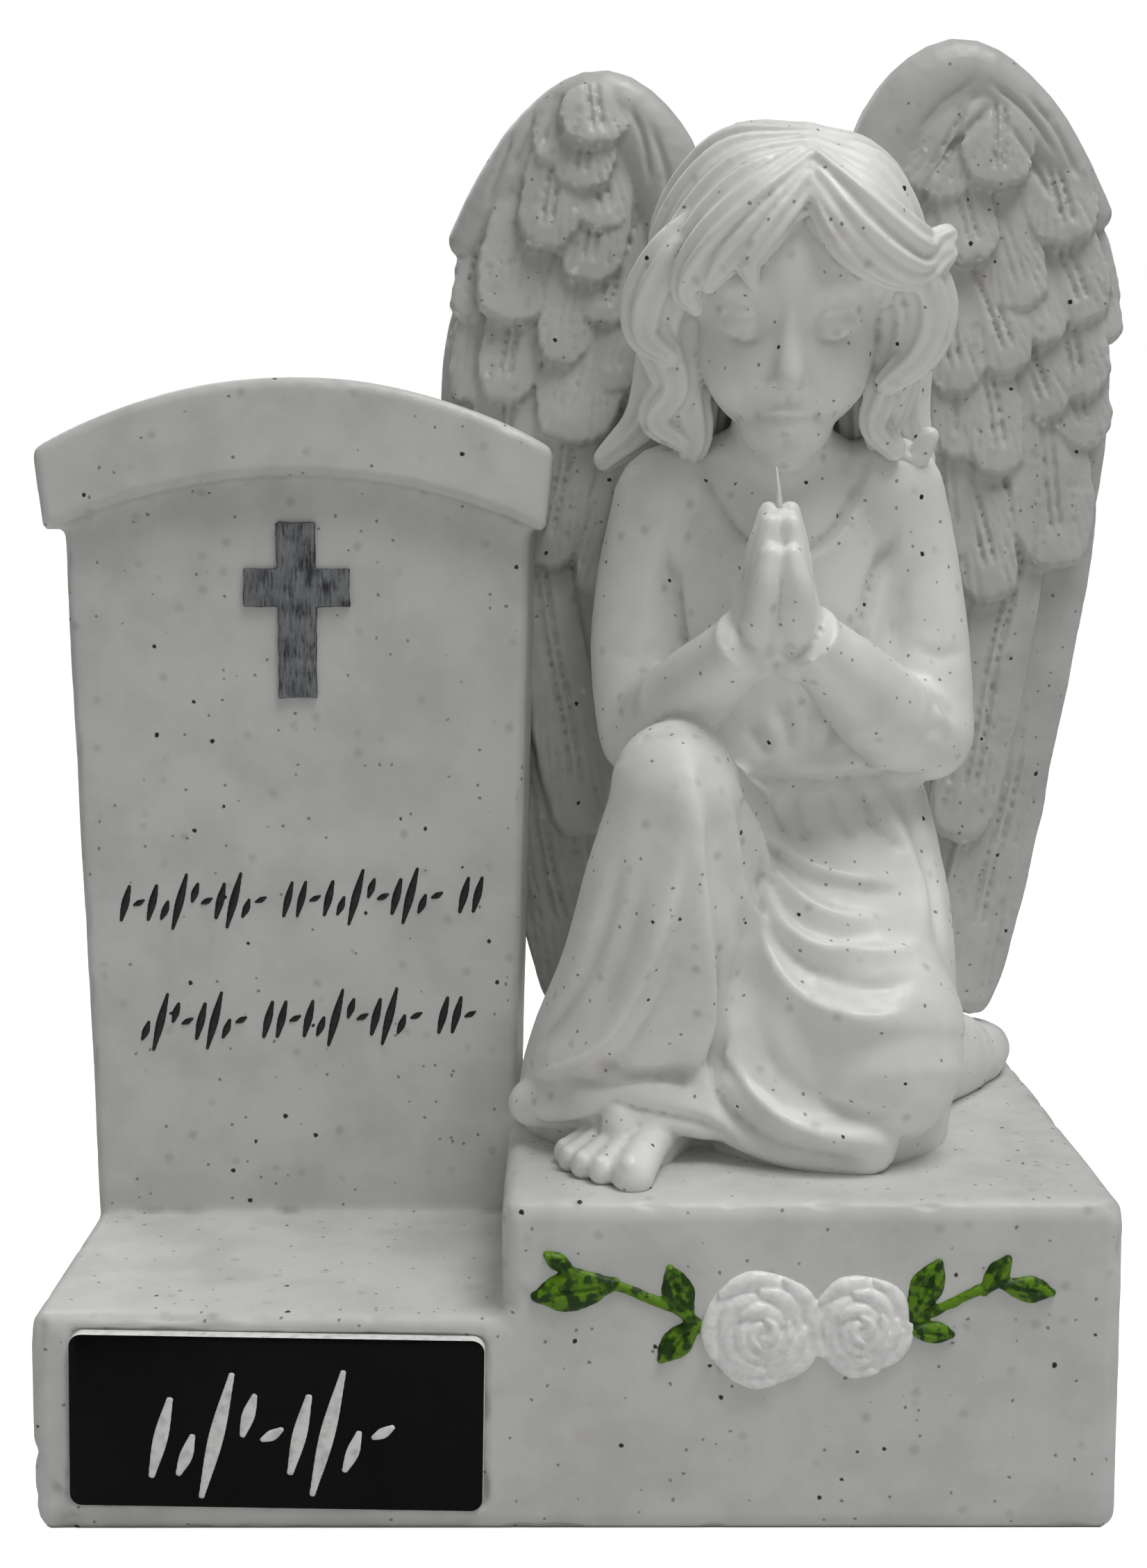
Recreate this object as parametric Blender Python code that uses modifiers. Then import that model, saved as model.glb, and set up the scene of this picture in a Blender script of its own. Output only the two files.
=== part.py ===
# A cast memorial: an angel kneeling in prayer beside an arched headstone, on one stepped
# plinth, with an engraved name plaque set into the plinth's front.
# The front faces -Y. The origin is the middle of the plinth's underside.
import math

import bmesh
import bpy
import numpy as np
from mathutils import Euler, Matrix, Vector
from mathutils.bvhtree import BVHTree

for leftover in list(bpy.data.objects):
    bpy.data.objects.remove(leftover)

mm = 0.001

# Plinth: a low ledge under the headstone and a high block under the angel
plinth_width = 140 * mm
plinth_depth = 78 * mm
ledge_width = 60.6 * mm
ledge_height = 29 * mm
block_height = 44 * mm
plinth_edge = 2.2 * mm

# Headstone
headstone_height = 120.4 * mm
headstone_foot_width = 60.4 * mm
headstone_head_width = 66.0 * mm
headstone_thickness = 20.5 * mm
headstone_setback = 42.5 * mm
headstone_draft = 0.8 * mm
cap_width = 72.6 * mm
cap_thickness = 13.6 * mm
cap_rise = 9.9 * mm
cap_overhang = 3.5 * mm
stone_edge = 1.2 * mm
cross_width = 15.0 * mm
cross_height = 24.8 * mm
cross_bar = 5.4 * mm
cross_relief = 0.8 * mm
cross_drop = 20.0 * mm

# Plaque
plaque_width = 53.0 * mm
plaque_height = 22.8 * mm
plaque_thickness = 1.9 * mm
plaque_corner = 1.6 * mm
plaque_recess = 0.9 * mm
plaque_margin = 0.6 * mm
glue_line = 0.3 * mm
plaque_tilt = math.radians(-1.0)
plaque_rise = 15.3 * mm
plaque_shift = 1.5 * mm

# Relief on the block's front
rose_relief = 2.4 * mm
leaf_relief = 0.9 * mm
stem_width = 1.1 * mm
relief_sink = 0.6 * mm

# Angel: its free form is written in its own millimetres, as measured on a figure of design_height,
# and is scaled to figure_height and stood on the block's top
figure_height = 156.0 * mm
design_height = 156.0
design_foot = Vector((30.3, 0.0, 44.0))
clay_voxel = 0.8
head_voxel = 0.55
figure_triangles = 7500
rose_triangles = 420

plinth_left = -plinth_width / 2
plinth_front = -plinth_depth / 2
ledge_right = plinth_left + ledge_width
block_centre = (ledge_right + plinth_width / 2) / 2
headstone_front = plinth_front + headstone_setback
headstone_centre = plinth_left + headstone_foot_width / 2 + 0.5 * mm
headstone_top = ledge_height + headstone_height

parts = bpy.data.collections.new("angel_memorial")
bpy.context.scene.collection.children.link(parts)


def material(name, colour, roughness, metallic=0.0):
    made = bpy.data.materials.new(name)
    made.use_nodes = True
    shader = made.node_tree.nodes["Principled BSDF"]
    shader.inputs["Base Color"].default_value = (*colour, 1)
    shader.inputs["Roughness"].default_value = roughness
    shader.inputs["Metallic"].default_value = metallic
    return made


marble_resin = material("marble_resin", (0.72, 0.72, 0.71), 0.45)
black_laminate = material("black_laminate", (0.012, 0.012, 0.014), 0.3)


def new_object(name, bm):
    mesh = bpy.data.meshes.new(name)
    bm.to_mesh(mesh)
    bm.free()
    made = bpy.data.objects.new(name, mesh)
    parts.objects.link(made)
    return made


def applied(made):
    """Replaces the object's mesh with its evaluated one and clears its modifiers."""
    graph = bpy.context.evaluated_depsgraph_get()
    mesh = bpy.data.meshes.new_from_object(made.evaluated_get(graph), depsgraph=graph)
    made.modifiers.clear()
    made.data = mesh
    return made


def bevelled(made, width, segments=2, angle=35):
    bevel = made.modifiers.new("edge", "BEVEL")
    bevel.width = width
    bevel.segments = segments
    bevel.limit_method = "ANGLE"
    bevel.angle_limit = math.radians(angle)
    return applied(made)


def combined(made, other, operation="UNION"):
    """Joins other to made, or cuts it away, and removes other."""
    boolean = made.modifiers.new(operation.lower(), "BOOLEAN")
    boolean.operation = operation
    boolean.object = other
    bpy.context.view_layer.update()
    applied(made)
    bpy.data.objects.remove(other)
    return made


def slab(name, outline, front, back, back_growth=0.0):
    """A flat outline in X and Z, extruded from front to back; its back is wider by back_growth a side."""
    bm = bmesh.new()
    face = bm.faces.new([bm.verts.new((x, front, z)) for x, z in outline])
    pushed = bmesh.ops.extrude_face_region(bm, geom=[face])
    back_verts = [v for v in pushed["geom"] if isinstance(v, bmesh.types.BMVert)]
    bmesh.ops.translate(bm, vec=(0, back - front, 0), verts=back_verts)
    if back_growth:
        middle = sum((v.co for v in back_verts), Vector()) / len(back_verts)
        half = max(abs(v.co.x - middle.x) for v in back_verts)
        grown = Matrix.Diagonal((1 + back_growth / half, 1, 1, 1))
        bmesh.ops.transform(bm, matrix=grown, space=Matrix.Translation(-middle), verts=back_verts)
    bmesh.ops.recalc_face_normals(bm, faces=bm.faces)
    return new_object(name, bm)


def arch(half_width, rise, crown, centre, steps):
    """Points of a flat arch from right to left, its crown at the height crown."""
    radius = (half_width**2 + rise**2) / (2 * rise)
    reach = math.asin(half_width / radius)
    turns = [reach - 2 * reach * i / steps for i in range(steps + 1)]
    return [(centre + radius * math.sin(a), crown - radius * (1 - math.cos(a))) for a in turns]


# Plinth and headstone
def make_plinth():
    right = plinth_width / 2
    outline = [(plinth_left, 0), (right, 0), (right, block_height), (ledge_right, block_height)]
    outline += [(ledge_right, ledge_height), (plinth_left, ledge_height)]
    plinth = slab("plinth", outline, plinth_front, -plinth_front)
    return bevelled(plinth, plinth_edge)


def make_headstone():
    back = headstone_front + headstone_thickness
    foot = headstone_foot_width / 2
    head = headstone_head_width / 2
    spring = headstone_top - cap_rise - cap_thickness / 2
    sunk = ledge_height - plinth_edge
    outline = [(headstone_centre - foot, sunk), (headstone_centre + foot, sunk)]
    outline += arch(head, cap_rise, spring + cap_rise, headstone_centre, 8)
    body = slab("headstone", outline, headstone_front, back, headstone_draft)
    bevelled(body, stone_edge)
    half = cap_width / 2
    outer = arch(half, cap_rise, headstone_top, headstone_centre, 14)
    under = arch(half - stone_edge, cap_rise * 0.8, headstone_top - cap_thickness, headstone_centre, 14)
    cap = slab("cap", outer + under[::-1], headstone_front - cap_overhang, back + stone_edge)
    bevelled(cap, stone_edge)
    return combined(body, cap)


def make_cross():
    """A plain Latin cross, raised on the headstone's face."""
    top = headstone_top - cross_drop
    bar_top = top - 1.2 * cross_bar
    half, arm = cross_bar / 2, cross_width / 2
    side = [(half, top), (half, bar_top), (arm, bar_top), (arm, bar_top - cross_bar)]
    side += [(half, bar_top - cross_bar), (half, top - cross_height)]
    outline = side + [(-x, z) for x, z in reversed(side)]
    outline = [(headstone_centre + x, z) for x, z in outline]
    return slab("cross", outline, headstone_front - cross_relief, headstone_front + relief_sink)


# Plaque and its recess
def rounded_plate(name, width, height, front, back):
    bm = bmesh.new()
    placed = Matrix.Translation((0, (front + back) / 2, 0)) @ Matrix.Diagonal((width, back - front, height, 1))
    bmesh.ops.create_cube(bm, size=1, matrix=placed)
    upright = [e for e in bm.edges if abs(e.verts[0].co.y - e.verts[1].co.y) > (back - front) / 2]
    bmesh.ops.bevel(bm, geom=upright, offset=plaque_corner, segments=4, profile=0.5, affect="EDGES")
    middle = Vector(((plinth_left + ledge_right) / 2 + plaque_shift, 0, plaque_rise))
    turned = Matrix.Translation(middle) @ Matrix.Rotation(-plaque_tilt, 4, "Y")
    bmesh.ops.transform(bm, matrix=turned, verts=bm.verts)
    return new_object(name, bm)


def make_plaque():
    floor = plinth_front + plaque_recess - glue_line
    return rounded_plate("name_plaque", plaque_width, plaque_height, floor - plaque_thickness, floor)


def make_recess():
    grown = 2 * plaque_margin
    floor = plinth_front + plaque_recess
    return rounded_plate("recess", plaque_width + grown, plaque_height + grown, plinth_front - 5 * mm, floor)


# Clay tools: shapes laid into one bmesh in the figure's own millimetres, then fused by a voxel remesh
def lay(bm, form):
    """Moves a form's mesh into bm."""
    held = bpy.data.meshes.new("form")
    form.to_mesh(held)
    form.free()
    bm.from_mesh(held)
    bpy.data.meshes.remove(held)


def smooth_line(points, per_span=4):
    """Points and radii along a Catmull-Rom curve through the given rows."""
    rows = [np.array(p, float) for p in points]
    rows = [2 * rows[0] - rows[1]] + rows + [2 * rows[-1] - rows[-2]]
    line = []
    for a, b, c, d in zip(rows, rows[1:], rows[2:], rows[3:]):
        for i in range(per_span):
            t = i / per_span
            line.append(0.5 * (2 * b + (c - a) * t + (2 * a - 5 * b + 4 * c - d) * t**2
                               + (3 * b - a - 3 * c + d) * t**3))
    line.append(rows[-2])
    return line


def sweep(bm, stations, level=False, sides=20, per_span=4, lobes=0):
    """A round-ended form through stations of x, y, z, radius across and radius through.
    Its rings follow the path, or stay level. Lobes give it strands that run lengthwise."""
    line = smooth_line([s if len(s) == 5 else (*s, s[3]) for s in stations], per_span)
    spots = [Vector(row[:3]) for row in line]
    rings = []
    for i, row in enumerate(line):
        along = (spots[min(i + 1, len(line) - 1)] - spots[max(i - 1, 0)]).normalized()
        rings.append((spots[i], along, row[3], row[4]))
    for end in (0, -1):
        spot, along, across, through = rings[end]
        out = -along if end == 0 else along
        reach = min(across, through)
        caps = [(spot + out * reach * math.sin(a), along, across * math.cos(a), through * math.cos(a))
                for a in (0.5, 1.0, 1.4)]
        rings = caps[::-1] + rings if end == 0 else rings + caps
    form = bmesh.new()
    loops = []
    for spot, along, across, through in rings:
        if level:
            turned = Matrix.Identity(4)
        else:
            side = along.cross(Vector((0, 1, 0)))
            side = side.normalized() if side.length > 0.1 else Vector((1, 0, 0))
            turned = Matrix((side, side.cross(along), -along)).transposed().to_4x4()
        size = Matrix.Diagonal((max(across, 0.05), max(through, 0.05), 1, 1))
        made = bmesh.ops.create_circle(form, segments=sides, radius=1)
        for vert in made["verts"]:
            if lobes:
                vert.co *= 1 + 0.13 * math.cos(lobes * math.atan2(vert.co.y, vert.co.x))
            vert.co = Matrix.Translation(spot) @ turned @ size @ vert.co
        loops.append({e for v in made["verts"] for e in v.link_edges})
    for i in (0, -1):
        bmesh.ops.contextual_create(form, geom=list(loops[i]))
    for first, second in zip(loops, loops[1:]):
        bmesh.ops.bridge_loops(form, edges=list(first | second))
    bmesh.ops.recalc_face_normals(form, faces=form.faces)
    lay(bm, form)


def ball(bm, centre, size, turn=(0, 0, 0)):
    """An ellipsoid with its three radii, turned by degrees about X, Y and Z."""
    radii = (size, size, size) if isinstance(size, (int, float)) else size
    turned = Euler([math.radians(a) for a in turn]).to_matrix().to_4x4()
    placed = Matrix.Translation(centre) @ turned @ Matrix.Diagonal((*radii, 1))
    form = bmesh.new()
    bmesh.ops.create_icosphere(form, subdivisions=3, radius=1, matrix=placed)
    lay(bm, form)


def mirrored(stations, about):
    return [(2 * about - s[0], *s[1:]) for s in stations]


# The angel's body
def lay_body(bm):
    torso = [(31, 4, 88, 18.5, 13), (31, 3, 97, 18, 12), (29.5, 2, 108, 17.5, 11.5),
             (28.5, 2, 119, 18, 11), (28.3, 2.5, 129, 17, 10), (28.4, 3, 136, 12.5, 8)]
    sweep(bm, torso, level=True)
    sweep(bm, [(28.5, 3, 133, 9), (28.6, 0.5, 140, 7.2), (28.7, -1.5, 148, 7)])
    left_arm = [(13.6, 3.5, 132, 8.4), (10.4, 3, 121, 7.4), (9.2, 1.5, 109, 7), (10, -1, 100, 6.8)]
    right_arm = [(43.2, 3.5, 133, 8.8), (47.2, 3, 121, 7.4), (48.8, 1.5, 110, 7), (49.3, -1, 100, 6.8)]
    left_forearm = [(10.5, -2, 100.5, 6.6), (14.5, -11, 105.5, 6.4), (19, -18, 111, 5.6), (22, -22, 115, 5.2)]
    right_forearm = [(49, -2, 100, 6.8), (42, -11, 103.5, 6.6), (35.5, -18, 109.5, 5.8), (31, -22, 114.5, 5.2)]
    for limb in (left_arm, right_arm, left_forearm, right_forearm):
        sweep(bm, limb)


def lay_hands(bm):
    """Two palms pressed together, fingers up, with the thumbs along their front edges."""
    palm = [(29.8, -22.5, 114, 3.4, 4.6), (29.5, -24, 119, 3.3, 5), (28.5, -25, 124, 2.6, 4.6),
            (27.6, -25.6, 128.5, 1.9, 3.6), (27, -25.8, 131.5, 1.2, 2.2)]
    thumb = [(29, -27.5, 116.5, 1.7), (28.2, -29, 121, 1.5), (27.5, -29.4, 124.5, 1.1)]
    cuff = [(34.5, -19.2, 110.8, 6), (31.8, -21.6, 113.6, 5.8)]
    for piece in (palm, thumb, cuff):
        sweep(bm, piece)
        sweep(bm, mirrored(piece, 26.1))


def lay_dress(bm):
    """The skirt over the raised right knee, the lap and the knee that rests on the block."""
    ball(bm, (13.3, -20.5, 94.2), (8.7, 9.3, 9.4))
    raised_leg = [(13.2, -20, 94, 8.6, 9), (12.5, -18.5, 84, 11, 10.5), (11.8, -15, 72, 13.3, 12.5),
                  (9.5, -9, 60, 15.3, 15), (8, -3, 51, 15.8, 17.5), (7.8, -1, 45, 15.4, 16.5)]
    sweep(bm, raised_leg, level=True)
    lap = [(31, 4, 92, 19, 12.5), (31.8, 1, 83, 20.2, 16), (33, -2, 72, 20.5, 20), (33.5, -3, 60, 20.3, 22.5),
           (33.5, -3.5, 51, 20, 23.5), (34, -3, 46, 19, 22.5)]
    sweep(bm, lap, level=True)
    sweep(bm, [(30, 2, 74, 11), (39, -14, 63, 13.2), (40.5, -17.5, 57.5, 12.2)])
    sweep(bm, [(25, 6, 76, 12), (19, -8, 86, 10), (13.5, -18, 93, 8.6)])
    sweep(bm, [(18, -19, 53, 5), (27, -22, 49, 5), (38, -24, 47.5, 5)])
    sweep(bm, [(42, 2, 53, 12), (50, 12, 50, 9), (57, 20, 48.5, 7)])
    sweep(bm, [(-6, -10.5, 49.3, 3.4), (1.5, -18.5, 51, 3.3), (9.5, -22, 52, 3.3), (18, -20.5, 50.3, 3.6)])


def lay_feet(bm):
    sweep(bm, [(15, -9, 48, 6, 5), (11, -17.5, 48.2, 6.2, 4), (7.2, -23.2, 46.8, 6.6, 3.2)])
    big_toe_to_small = [((9.8, -25.4), (7.4, -32.6), 2.9), ((6.6, -25), (3.6, -30.6), 2.1),
                        ((4.6, -23.5), (1.2, -28.1), 2.0), ((3, -21.2), (-0.5, -25.1), 1.9),
                        ((2.2, -18.8), (-1.2, -21.8), 1.8)]
    for (x, y), tip, radius in big_toe_to_small:
        sweep(bm, [(x + 1, y + 4, 47.6, radius), (x, y, 47.2, radius), (*tip, 45.4, radius * 0.95)], sides=12)
    sweep(bm, [(56, 18, 48.5, 5.6), (61, 25, 47.6, 5.6), (64.5, 32, 46.8, 4.2)])


# Folds and creases, each drawn in the front view as X and Z and pressed along the surface:
# width across and height, which is below zero for a groove
dress_strokes = [
    ([(14.5, 100), (15.6, 92.6), (15.4, 86.5), (16.7, 78), (17.3, 70), (17, 62), (16.6, 55.3)], 2.2, 1.3),
    ([(19.5, 95), (23.4, 79), (25, 72), (22.5, 62)], 3.2, -1.5),
    ([(20.2, 98), (23, 91), (26.3, 84.5), (30, 80.5), (35, 78.6), (44.7, 79.3)], 1.6, 1.1),
    ([(25.2, 84.5), (30.8, 77.3), (37.7, 74.3), (45, 73.8)], 1.5, -1.2),
    ([(24, 79.5), (30, 74.8), (38, 71.6), (46, 71.5)], 1.6, 0.9),
    ([(26, 76.8), (31.9, 71.5), (38.7, 68.5), (46, 69)], 1.4, -1.0),
    ([(11, 90), (10, 82.4), (8.2, 72.8), (4.6, 66), (-1, 59.6), (-4.9, 54.6)], 2.0, 1.1),
    ([(14.1, 84), (13.6, 76), (11.5, 69), (6.9, 61.5), (3.2, 56)], 2.2, -1.5),
    ([(3.5, 84), (1.5, 72), (-2.5, 63), (-6, 58)], 1.8, -1.0),
    ([(16.6, 57), (19.5, 51.6), (25.9, 47.6), (32.9, 46), (40, 46)], 1.7, -1.6),
    ([(20.5, 66), (21.2, 56.5), (25.7, 51.9), (32.7, 49.2), (42, 48.5)], 1.9, 1.1),
    ([(-7, 49.2), (-3.5, 47.2), (2.3, 49.6), (6, 52.4), (14.9, 50.6), (17.8, 49.2), (21.4, 47.1)], 1.2, -1.3),
    ([(2, 57.5), (9, 56), (16.6, 57)], 1.3, -0.9),
    ([(-3, 54), (3, 53.6), (9.4, 55), (16, 54.2)], 1.3, 0.8),
    ([(22, 95.4), (29, 94.2), (36.5, 94.4), (45, 94.6), (49.5, 95)], 1.3, -1.0),
    ([(30.1, 94), (30.8, 90), (32.5, 86)], 1.1, -0.8),
    ([(39.5, 93.6), (41.8, 88), (45, 84.5)], 1.2, -0.9),
    ([(44.5, 94), (47.5, 86.7), (49.6, 79), (50, 71)], 1.6, -1.2),
    ([(41.5, 94), (44.5, 87), (47.2, 80), (47.6, 73)], 1.4, 0.8),
    ([(23.8, 102), (26.7, 97)], 1.2, -0.7),
    ([(28, 105), (30.1, 98)], 1.3, -0.8),
    ([(36, 104), (34.5, 98)], 1.2, -0.6),
    ([(17.6, 139.2), (19.2, 134.5), (21.6, 129.5), (24.5, 126.6), (28.7, 125.4), (32.6, 126.6), (35.8, 129.5),
      (38.2, 134.5), (39.8, 139.5)], 0.9, -0.9),
    ([(13.6, 128), (15.6, 121), (16.8, 114), (17.5, 109)], 1.5, -1.5),
    ([(44.6, 129), (42.2, 122), (40.8, 115), (40.5, 110)], 1.5, -1.5),
    ([(5.5, 104), (9, 106.5), (13.5, 106)], 1.1, -0.7),
    ([(53, 103), (50, 106.5), (45.5, 106)], 1.1, -0.7),
    ([(26.1, 113), (26.1, 122), (26.1, 131)], 0.7, -1.2),
]


# The head is modelled upright about its own centre, then bowed and set on the neck
head_centre = Vector((28.7, -3.5, 160.5))
head_bow = 17
head_turn = -3
socket_strokes = [([(-5.8, -1.2)], 3.3, -1.7), ([(5.8, -1.2)], 3.3, -1.7)]
face_strokes = [
    ([(-4.1, -13.4), (-2.2, -13.2), (0, -13.3), (2.2, -13.2), (4.1, -13.4)], 0.5, -0.75),
    ([(0, -9.8), (0, -11.6)], 0.7, -0.35),
    ([(-9.2, -2.4), (-7.6, -3.3), (-5.7, -3.6), (-3.4, -2.9)], 0.45, -0.6),
    ([(9.2, -2.4), (7.6, -3.3), (5.7, -3.6), (3.4, -2.9)], 0.45, -0.6),
]


def lay_head(bm):
    skull = [((0, 2, 3), (14.2, 17.4, 15.6)), ((0, -2.5, 2), (13.2, 14.2, 13)), ((0, -5.2, -6), (11.9, 12, 12.6)),
             ((0, -9.6, -15.4), (6.4, 6.6, 5.6)), ((0, -11.6, -18.4), (3.8, 4.4, 3.4)),
             ((5.3, -9, -8.8), (5.6, 5.9, 5.8)), ((-5.3, -9, -8.8), (5.6, 5.9, 5.8)),
             ((0, -12.6, -12.6), (4.6, 4, 4.2))]
    for centre, size in skull:
        ball(bm, centre, size)
    sweep(bm, [(0, -14.6, 2, 2), (0, -16.4, -3, 1.8), (0, -18.2, -7.2, 2)], sides=12)


def lay_features(bm):
    for side in (-1, 1):
        ball(bm, (side * 1.7, -16.7, -8), (1.2, 1.4, 1.05))
        sweep(bm, [(side * 3.7, -14.2, -13.2, 0.5), (side * 2.1, -15.4, -12.8, 0.8), (0, -16, -12.6, 0.9)], sides=12)
        sweep(bm, [(side * 3.3, -14.4, -13.8, 0.4), (side * 1.8, -15.3, -14.3, 0.85), (0, -15.7, -14.5, 1)], sides=12)
        ball(bm, (side * 5.7, -11.5, -1.7), (3.4, 2.9, 2.7))
        sweep(bm, [(side * 2.9, -12.9, -1.2, 0.5), (side * 5.2, -14, 0.7, 0.7), (side * 7.8, -12.9, 0.4, 0.7),
                   (side * 9.4, -11.4, -1.6, 0.5)], sides=12)


def slerp(a, b, t):
    """The direction a share t of the way from a round to b."""
    angle = a.angle(b)
    return (a * math.sin((1 - t) * angle) + b * math.sin(t * angle)) / math.sin(angle)


hair_centre = Vector((0, 2.8, 4.2))
hair_radii = Vector((14.7, 17.4, 15.9))
hair_parting = 0.16


def lay_hair(bm, strands):
    """Long locks combed down from a parting over a round skull, with brow locks and side curls."""
    ball(bm, hair_centre, hair_radii)
    for side in (-1, 1):
        for i in range(13):
            t = i / 12
            rise = math.radians(40 + 92 * t)
            start = Vector((hair_parting, -math.cos(rise), math.sin(rise))).normalized()
            turn, drop = math.radians(side * (34 + 135 * t)), math.radians(8 - 52 * min(1, 2.2 * t))
            end = Vector((math.sin(turn) * math.cos(drop), -math.cos(turn) * math.cos(drop), math.sin(drop)))
            lock = []
            for step, radius in ((0, 1.7), (0.3, 2.7), (0.6, 3), (0.85, 2.8), (1, 1.8)):
                outward = slerp(start, end, step)
                lift = 0.3 + (0.9 + 0.25 * (i % 2)) * math.sin(3 * step)
                spot = hair_centre + outward * hair_radii + outward * lift
                lock.append((*spot, radius))
            sweep(bm, lock, lobes=strands)
    brow_locks = [
        [(1.2, -9.5, 18.6, 2.2), (-4.8, -13.6, 14.4, 2.9), (-10.4, -13.6, 8.6, 3.1), (-13.4, -12.4, 3.4, 2.2),
         (-12.2, -13.0, 0.6, 1.1)],
        [(1.4, -11.6, 16.4, 2.0), (-2.4, -14.8, 12, 2.4), (-5.4, -16.2, 7.6, 1.8), (-5.0, -16.6, 4.6, 0.9)],
        [(1.2, -10.6, 17.4, 2.1), (-3.8, -14.4, 12.8, 2.6), (-8.6, -15.2, 7.6, 2.3), (-10.6, -14.6, 4.0, 1.2)],
        [(3.4, -9.5, 18.4, 2.2), (8.6, -12.6, 14.2, 2.9), (13.8, -11.2, 9.6, 3.2), (17.6, -8.6, 7.4, 2.6),
         (20.4, -7, 8.6, 1.7)],
        [(3.4, -11.4, 16.4, 2.1), (7.6, -14.2, 11.6, 2.8), (12.8, -13.0, 7.2, 2.8), (17.4, -9.8, 5.0, 2.2),
         (20.6, -8, 6.6, 1.5)],
        [(3.2, -12.4, 15.2, 1.8), (6.4, -15, 10, 2.3), (11.6, -13.8, 5.8, 2.1), (16.4, -10.8, 3.6, 1.5)],
    ]
    side_locks = [
        [(-11.5, -7.5, 11, 2.4), (-15.8, -8, 6.4, 3.2), (-18.6, -7, 1, 3.3), (-18.8, -6.5, -3.8, 2.8),
         (-15.6, -8, -6.5, 1.7)],
        [(-15, -5, 3, 3.4), (-17, -4, -4, 3.6), (-15, -5.5, -11, 3), (-17.5, -5, -16, 2.4), (-14, -5.5, -19, 1.6)],
        [(-14, -2, -2, 3.6), (-13.5, -3, -12, 3), (-12.4, -4, -19, 2.4), (-14.5, -3.5, -24, 1.6)],
        [(-14, 3, 0, 5), (-16, 5, -10, 4.4), (-19, 6, -19, 3.2), (-25, 6, -25, 1.8)],
        [(12, -8, 10, 2.4), (16.8, -8, 5, 3), (19.2, -7, -1, 3.1), (17.8, -7, -6.5, 2.7), (13.5, -8, -10.5, 1.7)],
        [(15, -5, 3, 3.4), (16.2, -4, -4, 3.4), (14.2, -5, -11, 2.8), (12.4, -6, -16.5, 2.2), (15, -7, -20, 1.6)],
        [(14, -2, -3, 3.6), (15, -2, -12, 3.2), (13.5, -3, -19, 2.4), (17.5, -4, -22.5, 1.8), (20, -4, -19, 1.3)],
        [(14, 3, 0, 5), (16, 5, -10, 4.4), (17.5, 5, -18, 3.2), (20, 4, -25, 1.8)],
    ]
    side_locks += [[(x * 0.9, 9, 2, 5.6), (x, 12, -8, 5.4), (x * 1.1, 11, -20, 4.4), (x * 1.2, 9, -28, 2.4)]
              for x in (-11, -4, 4, 11)]
    side_locks += [[(x * 0.9, 2, -4, 4.6), (x, 4, -14, 4.2), (x * 1.05, 6, -24, 3.2)] for x in (-11.5, 11.5)]
    for lock in brow_locks + side_locks:
        sweep(bm, lock, lobes=strands)


def make_head(voxel, strands):
    bm = bmesh.new()
    lay_head(bm)
    face = fused(bm, voxel, 8)
    carve(face, socket_strokes)
    bm = bmesh.new()
    lay_features(bm)
    head = fused(with_mesh(bm, face), voxel, 1)
    carve(head, face_strokes)
    bm = bmesh.new()
    lay_hair(bm, strands)
    head = fused(with_mesh(bm, head), voxel, 1)
    bowed = Euler((math.radians(head_bow), 0, math.radians(head_turn))).to_matrix().to_4x4()
    head.data.transform(Matrix.Translation(head_centre) @ bowed)
    return head


# Wings: a flat blade with a thick leading edge under overlapping feathers. Places on the
# blade are the distance from the angel's middle, the depth and the height.
wing_centre = 29.3
wing_blade = [(31, 26, 60, 3.4, 3), (30.5, 26.5, 76, 6.2, 3.2), (32.3, 26.5, 95, 8.8, 3.6),
              (32, 26.5, 115, 13, 4), (32, 26.5, 135, 18, 4), (32, 26.5, 155, 18.8, 4),
              (30, 26.5, 172, 16.6, 4.6), (27.5, 26, 186, 11, 5.2), (26.5, 25.5, 193, 6.4, 4.6)]
wing_edge = [(14.4, 22, 150, 4.6, 3.6), (14.4, 22.8, 172, 5.4, 3.8), (18, 23.6, 186.5, 5.8, 3.8),
             (26.5, 24, 194, 5.6, 3.8), (35.4, 24.6, 189.4, 5.2, 3.6), (42.4, 25, 181.6, 4.2, 3.2),
             (47.6, 25.5, 174.6, 2.8, 2.6)]
wing_root = [(7, 12, 100, 7), (12, 18, 112, 7.5), (15, 21, 130, 7.5), (16, 23.5, 150, 7)]
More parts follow.
